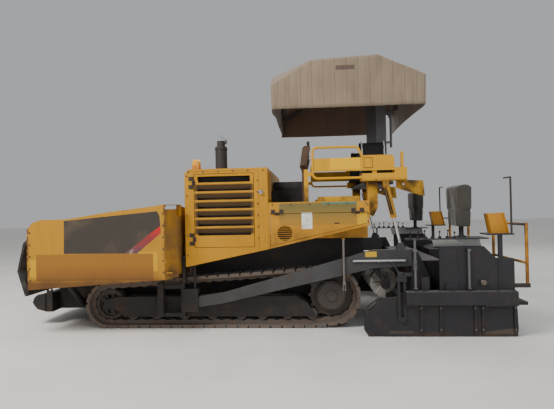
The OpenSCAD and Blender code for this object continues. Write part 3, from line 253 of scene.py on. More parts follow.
    def relief(self, mask, amount):
        """Adds relief in metres where the mask is 1."""
        raised = self.times(mask, amount)
        self.height = raised if self.height is None else self.math("ADD", self.height, raised)

    def done(self, rounding=0.003):
        """The material, its edges made to look rounded by a radius."""
        self.link(self.colour, self.shader.inputs["Base Color"])
        self.link(self.rough, self.shader.inputs["Roughness"])
        normal = self.rounded(rounding) if rounding else None
        if self.height is not None:
            feeds = {"Distance": 1.0, "Height": self.height}
            if normal:
                feeds["Normal"] = normal
            normal = self.node("ShaderNodeBump", feeds).outputs[0]
        if normal:
            self.link(normal, self.shader.inputs["Normal"])
        return self.material


YELLOW = rgb(188, 134, 26)
RUST = rgb(104, 66, 40)
GRIME = rgb(92, 66, 38)
HINGE_BROWN = rgb(66, 56, 48)


def paint(name, colour, wear=0.5, low_dirt=None, rust=0.5):
    """Sheet metal paint: faded patches, run-down dust, rust at edges and chips."""
    coat = Finish(name, colour, rough=0.55)
    coat.shader.inputs["Specular IOR Level"].default_value = 0.3
    coat.lay(tinted(colour, 1.2, 0.01), coat.cloud(1.3, 0.45, 0.75), share=0.45, rough=0.62)
    coat.lay(tinted(colour, 0.72), coat.cloud(2.6, 0.5, 0.8, seed=3.0), share=0.45)
    streaks = coat.cloud(3.0, 0.52, 0.78, detail=6.0, stretch=(4.5, 4.5, 0.35), seed=1.0)
    coat.lay(GRIME, streaks, share=0.35 * wear, rough=0.75)
    if low_dirt:
        heavy = coat.times(coat.inverse(coat.along("Z", *low_dirt)), coat.cloud(4.0, 0.25, 0.75, seed=5.0))
        coat.lay(GRIME, heavy, share=0.8, rough=0.85)
    chips = coat.times(coat.specks(38.0, 0.66, 0.72, seed=7.0), coat.cloud(2.0, 0.45, 0.6, seed=9.0))
    coat.lay(rgb(84, 56, 36), chips, share=0.8 * rust, rough=0.85)
    worn = coat.times(coat.edges(0.007), coat.cloud(14.0, 0.42, 0.6, detail=6.0, seed=11.0))
    coat.lay(rgb(96, 66, 44), worn, share=0.75 * wear, rough=0.8)
    dust = coat.times(coat.facing("Z", 0.6, 0.95), coat.cloud(5.0, 0.3, 0.7, seed=13.0))
    coat.lay(rgb(128, 108, 78), dust, share=0.5, rough=0.9)
    coat.relief(coat.cloud(3.0, 0.2, 0.8), 0.002)
    coat.relief(coat.cloud(160.0, 0.3, 0.7), 0.0001)
    return coat


def iron(name, colour, dust=0.5, rust=0.5, metal=0.2, rough=0.6):
    """Dark chassis steel: oily black with brown rust and asphalt dust on it."""
    coat = Finish(name, colour, rough=rough, metal=metal)
    coat.lay(tinted(colour, 1.7), coat.cloud(3.0, 0.4, 0.75), share=0.6, rough=0.75)
    coat.lay(rgb(84, 62, 48), coat.specks(5.0, 0.5, 0.74, seed=2.0), share=rust, rough=0.88)
    coat.lay(rgb(120, 108, 96), coat.specks(24.0, 0.6, 0.75, seed=4.0), share=0.35 * dust, rough=0.9)
    top = coat.times(coat.facing("Z", 0.5, 0.9), coat.cloud(6.0, 0.25, 0.7, seed=6.0))
    coat.lay(rgb(112, 102, 92), top, share=0.7 * dust, rough=0.95)
    worn = coat.times(coat.edges(0.006), coat.cloud(18.0, 0.4, 0.62, detail=6.0, seed=8.0))
    coat.lay(rgb(122, 112, 104), worn, share=0.45, rough=0.5)
    coat.relief(coat.specks(14.0, 0.2, 0.8), 0.0016)
    coat.relief(coat.cloud(120.0, 0.4, 0.7), 0.0004)
    return coat


def rubber(name, colour, grit=0.6):
    """Rubber, plastic or vinyl with pale grit and brown stains."""
    coat = Finish(name, colour, rough=0.85)
    coat.lay(rgb(96, 88, 80), coat.specks(9.0, 0.42, 0.72), share=grit, rough=0.95)
    coat.lay(rgb(70, 52, 40), coat.cloud(3.0, 0.5, 0.8, seed=3.0), share=0.5 * grit)
    coat.relief(coat.specks(40.0, 0.3, 0.7), 0.0012)
    return coat


# Fineness of a thread across and along it
WEAVE, WEAVE_RUN = 900.0, 45.0


def canvas(name, colour):
    """Woven cloth: crossed threads, faded and stained."""
    coat = Finish(name, colour, rough=0.92)
    coat.shader.inputs["Sheen Weight"].default_value = 0.25
    coat.relief(coat.noise(1.0, (WEAVE, WEAVE_RUN, WEAVE), seed=0.0), 0.0003)
    coat.relief(coat.noise(1.0, (WEAVE_RUN, WEAVE, WEAVE), seed=1.0), 0.0003)
    coat.lay(tinted(colour, 1.3), coat.cloud(2.2, 0.42, 0.7), share=0.5)
    damp = coat.cloud(3.5, 0.5, 0.78, stretch=(1.5, 1.5, 0.6), seed=2.0)
    coat.lay(tinted(colour, 0.62), damp, share=0.5)
    coat.lay(rgb(70, 60, 50), coat.specks(13.0, 0.62, 0.78, seed=4.0), share=0.35)
    return coat


# Hopper wing: its painted face is further out than this, its fields as x from, x to, z from,
# z to, and x, z corners of the dark panel and of the stripe across it
WING_FACE = 1.535
LOWER_FIELD = (1.291, 2.867, 0.745, 1.09)
BRIGHT_STRIPS = [(2.87, 2.95, 0.80, 1.02), (1.235, 1.288, 0.86, 1.105), (1.235, 1.62, 1.088, 1.108)]
STRIPE_FOOT, STRIPE_REAR = (1.502, 1.090), (1.180, 1.350)
DARK_PANEL = [(2.479, 1.530), (2.487, 1.097), STRIPE_FOOT, STRIPE_REAR, (1.195, 1.570), (1.227, 1.632)]
STRIPE = [(1.191, 1.441), (1.662, 1.093), STRIPE_FOOT, STRIPE_REAR]


def wing_paint():
    """Hopper side: faded dark panel with a red stripe, painted shade and soil on the lower field, rusty
    rims.
    """
    coat = paint("hopper_paint_worn", rgb(186, 134, 34), wear=0.9, low_dirt=(0.72, 1.0), rust=0.9)
    # Painted shade: faces of the rear plate that look rearwards are darkened in patches
    rear_side = coat.times(coat.facing("X", -0.2, -0.7), coat.along("X", 1.16, 1.12))
    rear_shade_patches = coat.times(coat.cloud(4.0, 0.2, 0.7, seed=26.0), 0.85)
    coat.lay(rgb(112, 84, 58), coat.times(rear_side, rear_shade_patches), rough=0.8)
    face = coat.outer(WING_FACE)
    lower = coat.field(face, LOWER_FIELD, ragged=0.006)
    coat.lay(rgb(144, 96, 42), lower, share=0.8, rough=0.8)
    # Painted shade and soil: the lower field darkens towards its foot, in patches
    patches = coat.cloud(1.6, -0.2, 0.8, detail=6.0, seed=21.0)
    lower_shade_and_soil = coat.times(lower, coat.inverse(coat.along("Z", 0.70, 0.98)), patches)
    coat.lay(rgb(104, 68, 36), lower_shade_and_soil, share=0.75)
    foot = coat.times(face, coat.inverse(coat.along("Z", 0.70, 0.80)))
    coat.lay(rgb(92, 62, 38), foot, share=0.85, rough=0.85)
    strips = coat.most(*[coat.block(*place) for place in BRIGHT_STRIPS])
    coat.lay(rgb(208, 160, 28), coat.times(face, strips), share=0.8, rough=0.6)
    panel = coat.region(DARK_PANEL, ragged=0.004)
    worn = coat.inverse(coat.times(coat.specks(60.0, 0.68, 0.76, seed=22.0), 0.6))
    coat.lay(rgb(66, 60, 54), coat.times(face, panel, worn), rough=0.5)
    dusty = coat.times(coat.cloud(3.2, 0.5, 0.8, detail=6.0, seed=23.0), 0.55)
    coat.lay(rgb(112, 96, 76), coat.times(face, panel, dusty), rough=0.8)
    stripe = coat.region(STRIPE, ragged=0.003)
    coat.lay(rgb(138, 58, 58), coat.times(face, stripe, worn), rough=0.6)
    coat.lay(rgb(196, 44, 38), coat.times(face, stripe, coat.along("Z", 1.26, 1.42)), rough=0.5)
    tip = coat.times(face, stripe, coat.inverse(coat.along("Z", 1.10, 1.24)))
    coat.lay(rgb(92, 74, 76), tip, share=0.85)
    scratches = coat.specks(40.0, 0.5, 0.6, seed=24.0)
    scratched = coat.times(face, stripe, coat.along("X", 1.52, 1.60), scratches)
    coat.lay(rgb(196, 182, 170), scratched, rough=0.7)
    ends = coat.most(coat.along("X", 2.955, 2.985), coat.inverse(coat.along("X", 1.135, 1.15)))
    rim = coat.times(face, ends, coat.specks(18.0, 0.35, 0.55, seed=25.0))
    coat.lay(RUST, rim, rough=0.9)
    return coat.done()


# Deck side: how far out its face and its hinges start, how high the hinges, and its fields
DECK_FACE, HINGE_FACE, HINGE_LOW = 1.19, 1.2215, 1.54
OLIVE_BAND = (-1.36, -0.33, 1.40, 1.70)
BRIGHT_PATCH = (-1.50, -1.365, 1.40, 1.55)
GREEN_STRIP = (-1.36, -0.90, 1.683, 1.703)
SLOT_SHADE = (-1.13, -1.06, 1.415, 1.43)
WHITE_SIGN = (-0.770, -0.627, 1.354, 1.571)
SENSOR_ROD = (-1.205, -1.145, 0.5, 1.207)


def deck_paint():
    """Side panels and doors: olive faded band, bare white sign, brighter patch, green strip."""
    coat = paint("deck_paint_worn", rgb(190, 134, 32), wear=0.6, low_dirt=(1.2, 1.45))
    face = coat.outer(DECK_FACE)
    olive = coat.field(face, OLIVE_BAND, soft=0.012)
    fade = coat.math("ADD", coat.times(coat.along("Z", 1.40, 1.68), 0.55), 0.4)
    coat.lay(rgb(112, 104, 62), coat.times(olive, fade, coat.cloud(3.0, -0.4, 0.5, seed=31.0)), rough=0.8)
    coat.lay(rgb(206, 160, 36), coat.field(face, BRIGHT_PATCH), rough=0.55)
    coat.lay(rgb(70, 128, 120), coat.field(face, GREEN_STRIP), rough=0.6)
    # Painted shade: the inside of a slot opening, drawn as a near-black field on the face
    coat.lay(rgb(34, 32, 32), coat.field(face, SLOT_SHADE), rough=0.8)
    sign = coat.field(face, WHITE_SIGN, soft=0.001)
    coat.lay(rgb(226, 224, 216), sign, rough=0.4)
    smudges = coat.specks(14.0, 0.5, 0.75, seed=32.0)
    coat.lay(rgb(150, 140, 124), coat.times(sign, smudges), rough=0.7)
    hinges = coat.times(coat.beyond("W", HINGE_FACE), coat.beyond("Z", HINGE_LOW))
    coat.lay(HINGE_BROWN, hinges, rough=0.7)
    coat.lay(rgb(112, 104, 100), coat.block(*SENSOR_ROD), rough=0.6)
    return coat.done()


# Louvres of the hood: top of the uppermost lip, pitch, and their field
LIP_TOP, LIP_PITCH = 2.007, 0.119
LOUVRES = (0.014, 0.818, 1.30, LIP_TOP)


def hood_paint():
    """Hood: painted shade on the louvre faces below each lip, dark hinges, brown rear side."""
    coat = paint("hood_paint_worn", YELLOW, wear=0.5)
    # Painted shade: the receding face below each louvre lip is darkened brown
    below_top = coat.math("SUBTRACT", LIP_TOP, coat.at("Z"))
    fall = coat.math("FRACT", coat.math("DIVIDE", below_top, LIP_PITCH))
    louvre_shade = coat.times(coat.block(*LOUVRES, soft=0.02), coat.ramp(fall, 0.14, 0.34))
    coat.lay(rgb(66, 52, 38), louvre_shade, share=0.95, rough=0.85)
    hinges = coat.times(coat.beyond("W", HINGE_FACE), coat.along("X", 0.80, 0.802))
    coat.lay(HINGE_BROWN, hinges, rough=0.7)
    rear = coat.inverse(coat.along("X", -0.20, -0.178))
    high = coat.times(coat.along("Z", 1.74, 1.78), 0.8)
    coat.lay(rgb(96, 70, 46), coat.times(rear, high), rough=0.8)
    return coat.done()


# Guard plates: the brighter field, and a square line as its outer and inner outline
GUARD_FIELD = (-1.42, -1.02, 2.14, 2.29)
SQUARE_OUTSIDE, SQUARE_INSIDE = (-1.592, -1.465, 2.145, 2.287), (-1.580, -1.477, 2.157, 2.275)


def guard_paint():
    """Guard plates: a brighter bare middle field, a square line, brown at the foot."""
    coat = paint("guard_paint", rgb(204, 150, 26), wear=0.4)
    coat.lay(rgb(232, 178, 14), coat.field(coat.outer(1.18), GUARD_FIELD), rough=0.45)
    square = coat.times(coat.block(*SQUARE_OUTSIDE), coat.inverse(coat.block(*SQUARE_INSIDE)))
    coat.lay(rgb(104, 78, 38), coat.times(coat.outer(1.0), square), share=0.75, rough=0.8)
    low = coat.inverse(coat.along("Z", 1.98, 2.02))
    stained = coat.times(coat.outer(0.9), low, coat.cloud(5.0, 0.35, 0.65, seed=41.0))
    coat.lay(rgb(84, 64, 38), stained, rough=0.85)
    return coat.done()


# Tow arm: how far out its rod starts, fields of the rod and the label
ARM_FACE = 1.189
ARM_ROD = (-1.98, -1.295, 0.90, 0.93)
ARM_LABEL = (-1.610, -1.460, 0.965, 1.035)


def arm_iron():
    """Tow arm: grey steel with a bare yellow label and a pale rod."""
    coat = iron("arm_grey", rgb(60, 60, 61), rust=0.35)
    coat.lay(rgb(206, 162, 34), coat.field(coat.outer(1.16), ARM_LABEL, ragged=0.003), rough=0.5)
    coat.lay(rgb(176, 176, 178), coat.field(coat.beyond("W", ARM_FACE), ARM_ROD), rough=0.4)
    return coat.done()


# End gate: its fields, x, z corners of the sand at its rear, how far out the spindles start
# and the plate ends
SPINDLES = [(-2.055, -2.005, 0.60, 1.21), (-2.70, -2.66, 0.60, 1.10)]
SHELF = (-3.2, -1.9, 0.55, 0.59)
FRONT_SAND = (-1.99, -1.70, 0.042, 0.066)
REAR_SAND = [(-3.22, 0.035), (-3.22, 0.105), (-2.86, 0.060), (-2.86, 0.035)]
PALE_PLATE = (-2.90, -2.25, 1.10, 1.206)
SPINDLE_START, PLATE_END = 1.505, 1.425


def gate_iron():
    """End gate: black with pale spindles and plate, brown rust and sand along the bottom."""
    coat = iron("gate_black", rgb(35, 34, 38), rust=0.3, dust=0.35)
    runs = coat.specks(7.0, 0.4, 0.7, stretch=(0.5, 1, 1), seed=51.0)
    low = coat.times(coat.inverse(coat.along("Z", 0.02, 0.08)), runs)
    coat.lay(rgb(82, 60, 44), low, share=0.8, rough=0.9)
    ash = coat.times(coat.outer(1.2), coat.specks(2.2, 0.5, 0.8, seed=52.0))
    coat.lay(rgb(74, 70, 68), ash, share=0.45, rough=0.9)
    spindles = coat.most(*[coat.block(*place) for place in SPINDLES])
    coat.lay(rgb(96, 96, 98), coat.times(coat.beyond("W", SPINDLE_START), spindles), rough=0.45)
    shelf = coat.field(coat.facing("Z", 0.6, 0.9), SHELF)
    rubbed = coat.specks(8.0, 0.1, 0.7, stretch=(0.4, 1, 1), seed=53.0)
    coat.lay(rgb(104, 102, 102), coat.times(shelf, rubbed), rough=0.6)
    front_sand = coat.block(*FRONT_SAND, soft=0.02, ragged=0.03)
    rear_sand = coat.region(REAR_SAND, soft=0.015, ragged=0.03)
    sand = coat.times(coat.most(front_sand, rear_sand), 0.8)
    coat.lay(rgb(92, 80, 68), coat.times(coat.outer(1.45), sand), rough=0.95)
    plate = coat.field(coat.inverse(coat.beyond("W", PLATE_END)), PALE_PLATE)
    coat.lay(rgb(150, 150, 148), plate, rough=0.6)
    return coat.done()


# Rear rail: field of its black hand rail, above or outside of its boxes
HAND_RAIL = (-3.375, -3.19, 1.24, 2.0)


def rail_paint():
    """Rear rail: rusty yellow posts, yellow boxes, black hand rail."""
    coat = paint("rail_paint_worn", rgb(190, 130, 30), wear=0.9, rust=1.0)
    rusty = coat.specks(7.0, 0.3, 0.6, seed=81.0)
    posts = coat.times(coat.inverse(coat.along("X", -3.36, -3.34)), rusty)
    coat.lay(rgb(96, 62, 38), posts, share=0.8, rough=0.85)
    high = coat.most(coat.beyond("W", 1.44), coat.beyond("Z", 1.60))
    coat.lay(rgb(58, 54, 52), coat.field(high, HAND_RAIL), rough=0.7)
    return coat.done()


def track_rubber():
    """Track: black pads, the chain's side faces brown with dry asphalt."""
    coat = rubber("track_rubber_worn", rgb(92, 86, 82), grit=0.5)
    caked = coat.times(coat.outer(0.6), coat.specks(10.0, 0.3, 0.65, seed=61.0))
    coat.lay(rgb(112, 88, 68), caked, share=0.55, rough=0.9)
    return coat.done()


# Canopy cloth: pitch of the pleats, where seams and pleats start, the hem's upper edge,
# the bare label, and a point that the inner side of the cloth faces
PLEAT, SEAM_START, PLEAT_START = 0.153, -4.55, -0.55
HEM_SEAM = (3.008, 3.016)
CANOPY_LABEL = (-1.375, -1.125, 3.465, 3.525)
CANOPY_MIDDLE = (-1.27, 0.0, 3.1)


def canopy_cloth():
    """Canopy: seams at the pleats' pitch, a hem, a bare dark label, brown inside."""
    coat = canvas("canopy_canvas_tan", rgb(134, 117, 98))
    from_start = coat.math("ADD", coat.at("X"), -SEAM_START)
    step = coat.math("FRACT", coat.math("DIVIDE", from_start, PLEAT))
    away = coat.math("ABSOLUTE", coat.math("SUBTRACT", step, 0.5))
    seam = coat.inverse(coat.ramp(away, 0.02, 0.05))
    skirt = coat.outer(1.05)
    coat.relief(coat.times(seam, skirt), 0.0025)
    coat.lay(rgb(96, 82, 66), coat.times(seam, skirt), share=0.5)
    hem = coat.inverse(coat.along("Z", *HEM_SEAM))
    coat.relief(hem, 0.002)
    coat.lay(rgb(112, 98, 80), hem, share=0.5)
    coat.lay(rgb(90, 75, 66), coat.field(skirt, CANOPY_LABEL, ragged=0.004))
    stains = coat.specks(2.4, 0.5, 0.75, stretch=(2.0, 2.0, 0.5), seed=71.0)
    coat.lay(rgb(104, 86, 66), stains, share=0.5)
    feeds = {0: coat.spot, 1: CANOPY_MIDDLE}
    outward = coat.node("ShaderNodeVectorMath", feeds, operation="SUBTRACT").outputs[0]
    inside = coat.math("LESS_THAN", coat.dot(outward, coat.normal), 0.0)
    coat.lay(rgb(124, 106, 94), inside, share=0.85)
    return coat.done(0.0)


def chrome(name, colour, rough):
    """Bright or bare steel with brown specks."""
    coat = Finish(name, colour, rough=rough, metal=1.0)
    coat.lay(rgb(120, 104, 88), coat.specks(20.0, 0.55, 0.72), share=0.6, rough=0.7)
    coat.relief(coat.cloud(60.0, 0.4, 0.7), 0.0002)
    return coat.done(0.001)


def amber_glass():
    """Beacon: amber lens, darker at the foot, dusty."""
    coat = Finish("beacon_amber_glass", rgb(240, 176, 20), rough=0.2)
    coat.shader.inputs["Coat Weight"].default_value = 0.5
    coat.shader.inputs["Subsurface Weight"].default_value = 0.2
    coat.lay(rgb(206, 128, 14), coat.inverse(coat.along("Z", 2.22, 2.30)))
    coat.lay(rgb(190, 160, 110), coat.cloud(12.0, 0.5, 0.8), share=0.35, rough=0.6)
    return coat.done(0.004)


finishes = {
    "yellow": paint("yellow_paint_worn", YELLOW).done(),
    "hood": hood_paint(),
    "side": deck_paint(),
    "wing": wing_paint(),
    "bin": paint("hopper_floor_worn", rgb(120, 88, 50), wear=1.0, rust=1.0).done(),
    "guard": guard_paint(),
    "rail": rail_paint(),
    "dark": iron("chassis_black", rgb(36, 33, 32)).done(),
    "gate": gate_iron(),
    "screed": iron("screed_black", rgb(33, 31, 34), rust=0.6, dust=0.35).done(),
    "arm": arm_iron(),
    "gear": iron("gear_grey", rgb(62, 56, 52), rust=0.7).done(0.004),
    "roller": iron("roller_steel", rgb(84, 76, 68), metal=0.6, rough=0.45).done(0.004),
    "stack": iron("stack_iron_worn", rgb(58, 54, 54), rust=0.35, dust=0.3).done(),
    "mast": iron("mast_black", rgb(88, 86, 87), rust=0.1, dust=0.3).done(),
    "flight": iron("flight_steel", rgb(150, 144, 138), metal=0.7, rough=0.42, rust=0.3).done(),
    "engine": iron("engine_iron_oily", rgb(48, 46, 48), rust=0.3).done(),
    "core": iron("radiator_core_dusty", rgb(38, 34, 31), dust=0.6).done(0.0),
    "track": track_rubber(),
    "apron": rubber("apron_rubber_worn", rgb(34, 31, 30), grit=0.4).done(0.004),
    "deck": iron("deck_plate_worn", rgb(80, 76, 72), metal=0.4).done(0.0),
    "plastic": rubber("black_plastic_dusty", rgb(30, 29, 30), grit=0.2).done(0.006),
    "vinyl": rubber("seat_vinyl_black", rgb(28, 27, 28), grit=0.15).done(0.002),
    "piping": rubber("seat_piping_pale", rgb(206, 204, 200), grit=0.15).done(0.002),
    "console": rubber("console_brown_worn", rgb(84, 60, 42), grit=0.4).done(0.006),
    "canopy": canopy_cloth(),
    "cover": canvas("cover_canvas_khaki", rgb(56, 53, 48)).done(0.0),
    "rod": chrome("rod_chrome_oily", rgb(208, 206, 202), 0.2),
    "bolt": chrome("bolt_steel_worn", rgb(112, 104, 94), 0.5),
    "amber": amber_glass(),
}

# Parts that each finish is on, named without their side
PARTS_OF = {
    "dark": "main_frame engine_bed push_beam track_frames tow_guides wing_barrel",
    "screed": "auger_frame screed_box extension",
    "side": "side_panels tanks side_door",
    "hood": "hood louvre_door",
    "flight": "conveyor auger",
    "apron": "hopper_apron wing_flap",
    "rod": "wing_rod lift_rod",
    "bin": "hopper_floor", "wing": "wing", "roller": "push_roller", "track": "track",
    "gear": "running_gear", "engine": "engine_block", "core": "radiators", "deck": "deck_floor",
    "guard": "guard_rails", "console": "console", "vinyl": "seat", "mast": "canopy_mast",
    "canopy": "canopy_cover", "stack": "exhaust_stack", "bolt": "rain_cap", "amber": "beacon",
    "plastic": "air_cleaner", "arm": "tow_arms", "yellow": "lift_barrel", "gate": "end_gate",
    "rail": "rear_rail", "cover": "control_cover",
}


def finish_parts():
    finish_of = {kind: finish for finish, kinds in PARTS_OF.items() for kind in kinds.split()}
    for name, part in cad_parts.items():
        material = finishes[finish_of[name.removesuffix("_left").removesuffix("_right")]]
        if not part.material_slots:
            part.data.materials.append(material)
        for place in part.material_slots:
            place.material = material


finish_parts()


# Cloth and cushions

def mesh_object(name, points, faces):
    mesh = bpy.data.meshes.new(name)
    mesh.from_pydata([tuple(point) for point in points], [], faces)
    mesh.validate()
    mesh.shade_smooth()
    return new_object(name, mesh)


def set_finish(piece, finish):
    piece.data.materials.clear()
    piece.data.materials.append(finishes[finish])
    piece.data.shade_smooth()


def apply_modifiers(piece):
    graph = bpy.context.evaluated_depsgraph_get()
    solved = bpy.data.meshes.new_from_object(piece.evaluated_get(graph))
    piece.modifiers.clear()
    piece.data = solved


def simulate(piece, pinned, frames, most, grow=0.0, pressure=0.0, gravity=1.0):
    """Runs cloth with some points pinned, and keeps each point within most of its start."""
    start = [point.co.copy() for point in piece.data.vertices]
    settings = piece.modifiers.new("Cloth", "CLOTH").settings
    if pinned:
        group = piece.vertex_groups.new(name="pinned")
        group.add(pinned, 1.0, "REPLACE")
        settings.vertex_group_mass = group.name
    settings.quality = 6
    settings.mass = 0.4
    settings.tension_stiffness = settings.compression_stiffness = 15.0
    settings.bending_stiffness = 0.8
    settings.shrink_min = settings.shrink_max = -grow
    settings.effector_weights.gravity = gravity
    if pressure:
        settings.use_pressure = True
        settings.uniform_pressure_force = pressure
    scene = bpy.context.scene
    scene.frame_start, scene.frame_end = 1, frames
    for step in range(1, frames + 1):
        scene.frame_set(step)
    apply_modifiers(piece)
    scene.frame_set(1)
    piece.vertex_groups.clear()
    for point, place in zip(piece.data.vertices, start):
        way = point.co - place
        if way.length > most:
            point.co = place + way.normalized() * most


def finish_cloth(piece, finish, thickness):
    solid = piece.modifiers.new("Thickness", "SOLIDIFY")
    solid.thickness = thickness
    solid.offset = -1.0
    apply_modifiers(piece)
    set_finish(piece, finish)


def between(points, x):
    """Height at x on a line through points that run rearwards."""
    for (x0, z0), (x1, z1) in zip(points, points[1:]):
        if x >= x1:
            return z0 + (z1 - z0) * (x0 - x) / (x0 - x1)
    return points[-1][1]


def hump(away, width):
    """1 where away is 0, falling off over a width."""
    return math.exp(-(away / width) ** 2)


class Sheet:
    """Points and faces of a sheet, each point made once under its name."""

    def __init__(self):
        self.points, self.faces, self.names = [], [], {}

    def point(self, name, place):
        if name not in self.names:
            self.names[name] = len(self.points)
            self.points.append(place)
        return self.names[name]

    def cell(self, corner, i, j, *more, turned_over=False):
        """One face between grid lines i, i + 1 and j, j + 1; corner gives a name and a place."""
        places = [(i, j), (i + 1, j), (i + 1, j + 1), (i, j + 1)]
        if turned_over:
            places.reverse()
        self.faces.append([self.point(*corner(*place, *more)) for place in places])


# Canopy: hem height, half width, and the roof's height, the eaves' height and the hip's
# width along x. The grid counts columns along the roof, cells across it, rows of the hip
# and rows of the skirt. The right skirt ends in a stub behind the mast.
CANOPY_LOW = 2.975
CANOPY_HALF = 1.198
ROOF = [(-0.252, 3.478), (-0.787, 3.626), (-1.697, 3.658), (-2.296, 3.504)]
EAVES = [(-0.252, 3.30), (-0.80, 3.602), (-1.697, 3.636), (-1.86, 3.56), (-2.296, 3.36)]
HIP = [(-0.252, 0.30), (-0.80, 0.03), (-1.697, 0.03), (-1.86, 0.14), (-2.296, 0.30)]
COLUMNS, ACROSS, HIP_ROWS, SKIRT_ROWS = 84, 48, 4, 20
RIGHT_SKIRT_END, STUB_ROWS = -1.93, 3
HOOPS = (-0.36, -1.25, -1.75, -2.24)


def canopy_x(i):
    front, rear = ROOF[0][0], ROOF[-1][0]
    return front + (rear - front) * i / COLUMNS


def canopy_row(x, row):
    """Half width and height of a row, from the roof's edge down to the hem."""
    roof, eaves, hip = between(ROOF, x), between(EAVES, x), between(HIP, x)
    if row <= HIP_ROWS:
        down = row / HIP_ROWS
        return CANOPY_HALF - hip * (1 - down), roof + (eaves - roof) * down
    down = (row - HIP_ROWS) / SKIRT_ROWS
    return CANOPY_HALF, eaves + (CANOPY_LOW - eaves) * down


def side_corner(i, row, sign):
    half, z = canopy_row(canopy_x(i), row)
    return ("side", i, row, sign), (canopy_x(i), sign * half, z)


def end_corner(k, row, i):
    """A corner between the sides: on the roof in row 0, below it on the front or rear end."""
    if k in (0, ACROSS):
        return side_corner(i, row, 1 if k == ACROSS else -1)
    half, z = canopy_row(canopy_x(i), row)
    return ("end" if row else "roof", i, row, k), (canopy_x(i), half * (2 * k / ACROSS - 1), z)


def roof_corner(i, k):
    return end_corner(k, 0, i)


def canopy_grid():
    sheet = Sheet()
    rows = HIP_ROWS + SKIRT_ROWS
    for i in range(COLUMNS):
        for k in range(ACROSS):
            sheet.cell(roof_corner, i, k)
        for row in range(rows):
            sheet.cell(side_corner, i, row, 1)
            if canopy_x(i + 1) > RIGHT_SKIRT_END or row < HIP_ROWS + STUB_ROWS:
                sheet.cell(side_corner, i, row, -1, turned_over=True)
    for row in range(rows):
        for k in range(ACROSS):
            sheet.cell(end_corner, k, row, 0)
            sheet.cell(end_corner, k, row, COLUMNS, turned_over=True)
    return sheet


def canopy_pins(sheet):
    """Points that the hoops hold: across the roof, and along the hip's edges."""
    reach = 0.6 * (canopy_x(0) - canopy_x(1))
    pinned = []
    for name, n in sheet.names.items():
        on_hoop = any(abs(sheet.points[n][0] - hoop) < reach for hoop in HOOPS)
        if name[0] == "roof" and on_hoop or name[0] == "side" and name[2] in (0, HIP_ROWS):
            pinned.append(n)
    return pinned


def press_pleats(piece):
    """Draws the skirts in at each pleat, and in waves towards the hem."""
    for point in piece.data.vertices:
        x, y, z = point.co
        eaves = between(EAVES, x)
        if abs(y) > CANOPY_HALF - 0.02 and z < eaves - 0.02:
            low = (eaves - z) / 0.6
            valley = hump(((x - PLEAT_START) / PLEAT) % 1.0 - 0.5, 0.09)
            wave = 0.5 + 0.5 * noise.noise(Vector((x * 3.1, 0.4 * z, 7.0 if y > 0 else 2.0)))
            point.co.y -= math.copysign(0.008 * valley + 0.035 * low * wave, y)


def canopy_sheet():
    """One sheet over the hoops: roof, hipped corners, skirts."""
    sheet = canopy_grid()
    piece = mesh_object("canopy_sheet", sheet.points, sheet.faces)
    press_pleats(piece)
    simulate(piece, canopy_pins(sheet), 18, grow=0.012, most=0.045)
    finish_cloth(piece, "canopy", 0.004)
    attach(piece, "tractor")
    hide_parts("canopy_cover")


canopy_sheet()

# Cover of a control panel: its box, how high its shoulder, hem and strap are, and its grid
COVER_X, COVER_Y = (-2.785, -2.592), (0.885, 1.447)
COVER_TOP, COVER_SHOULDER, COVER_HEM, STRAP_Z = 1.889, 1.842, 1.365, 1.56
CROWN_RINGS, DROP_RINGS, AROUND = 8, 30, 96


def squared_off(part):
    """A sine or cosine pushed out, so that a circle becomes a rounded rectangle."""
    return math.copysign(abs(part) ** 0.42, part)


def cover_ring(k, sign):
    """Points of one ring, from the crown down to the hem, with folds and the strap's waist."""
    middle_x, middle_y = sum(COVER_X) / 2, sum(COVER_Y) / 2
    quarter = min(1.0, k / CROWN_RINGS) * math.pi / 2
    down = max(0.0, (k - CROWN_RINGS) / DROP_RINGS)
    half_x = (COVER_X[1] - COVER_X[0]) / 2 * math.sin(quarter) * (1 - 0.16 * down)
    half_y = (COVER_Y[1] - COVER_Y[0]) / 2 * (0.86 + 0.14 * math.sin(quarter)) * (1 - 0.07 * down ** 2)
    dome = (COVER_TOP - COVER_SHOULDER) * (1 - math.cos(quarter))
    z = COVER_TOP - dome - down * (COVER_SHOULDER - COVER_HEM)
    strap = hump(z - STRAP_Z, 0.016)
    points = []
    for i in range(AROUND):
        turn = 2 * math.pi * i / AROUND
        x = squared_off(math.cos(turn)) * half_x
        y = squared_off(math.sin(turn)) * half_y
        fold = 0.5 + 0.5 * math.sin(7 * turn + 5.0 * down + 1.3 * math.sin(3 * turn))
        loose = noise.noise(Vector((x * 9, y * 5, z * 4 + sign)))
        slack = down ** 0.7 * (0.016 * fold + 0.012 * loose)
        inward = max(0.0, slack * (1 - 0.6 * strap) + 0.012 * strap)
        drawn_x, drawn_y = x * (1 - inward / 0.12), y * (1 - inward / 0.28)
        points.append((middle_x + drawn_x, sign * (middle_y + drawn_y), z))
    return points


def close_crown(mesh):
    """Merges the crown's first ring, whose points lie on one line."""
    form = bmesh.new()
    form.from_mesh(mesh)
    bmesh.ops.remove_doubles(form, verts=form.verts, dist=0.0004)
    bmesh.ops.dissolve_degenerate(form, edges=form.edges, dist=0.0002)
    form.to_mesh(mesh)
    form.free()


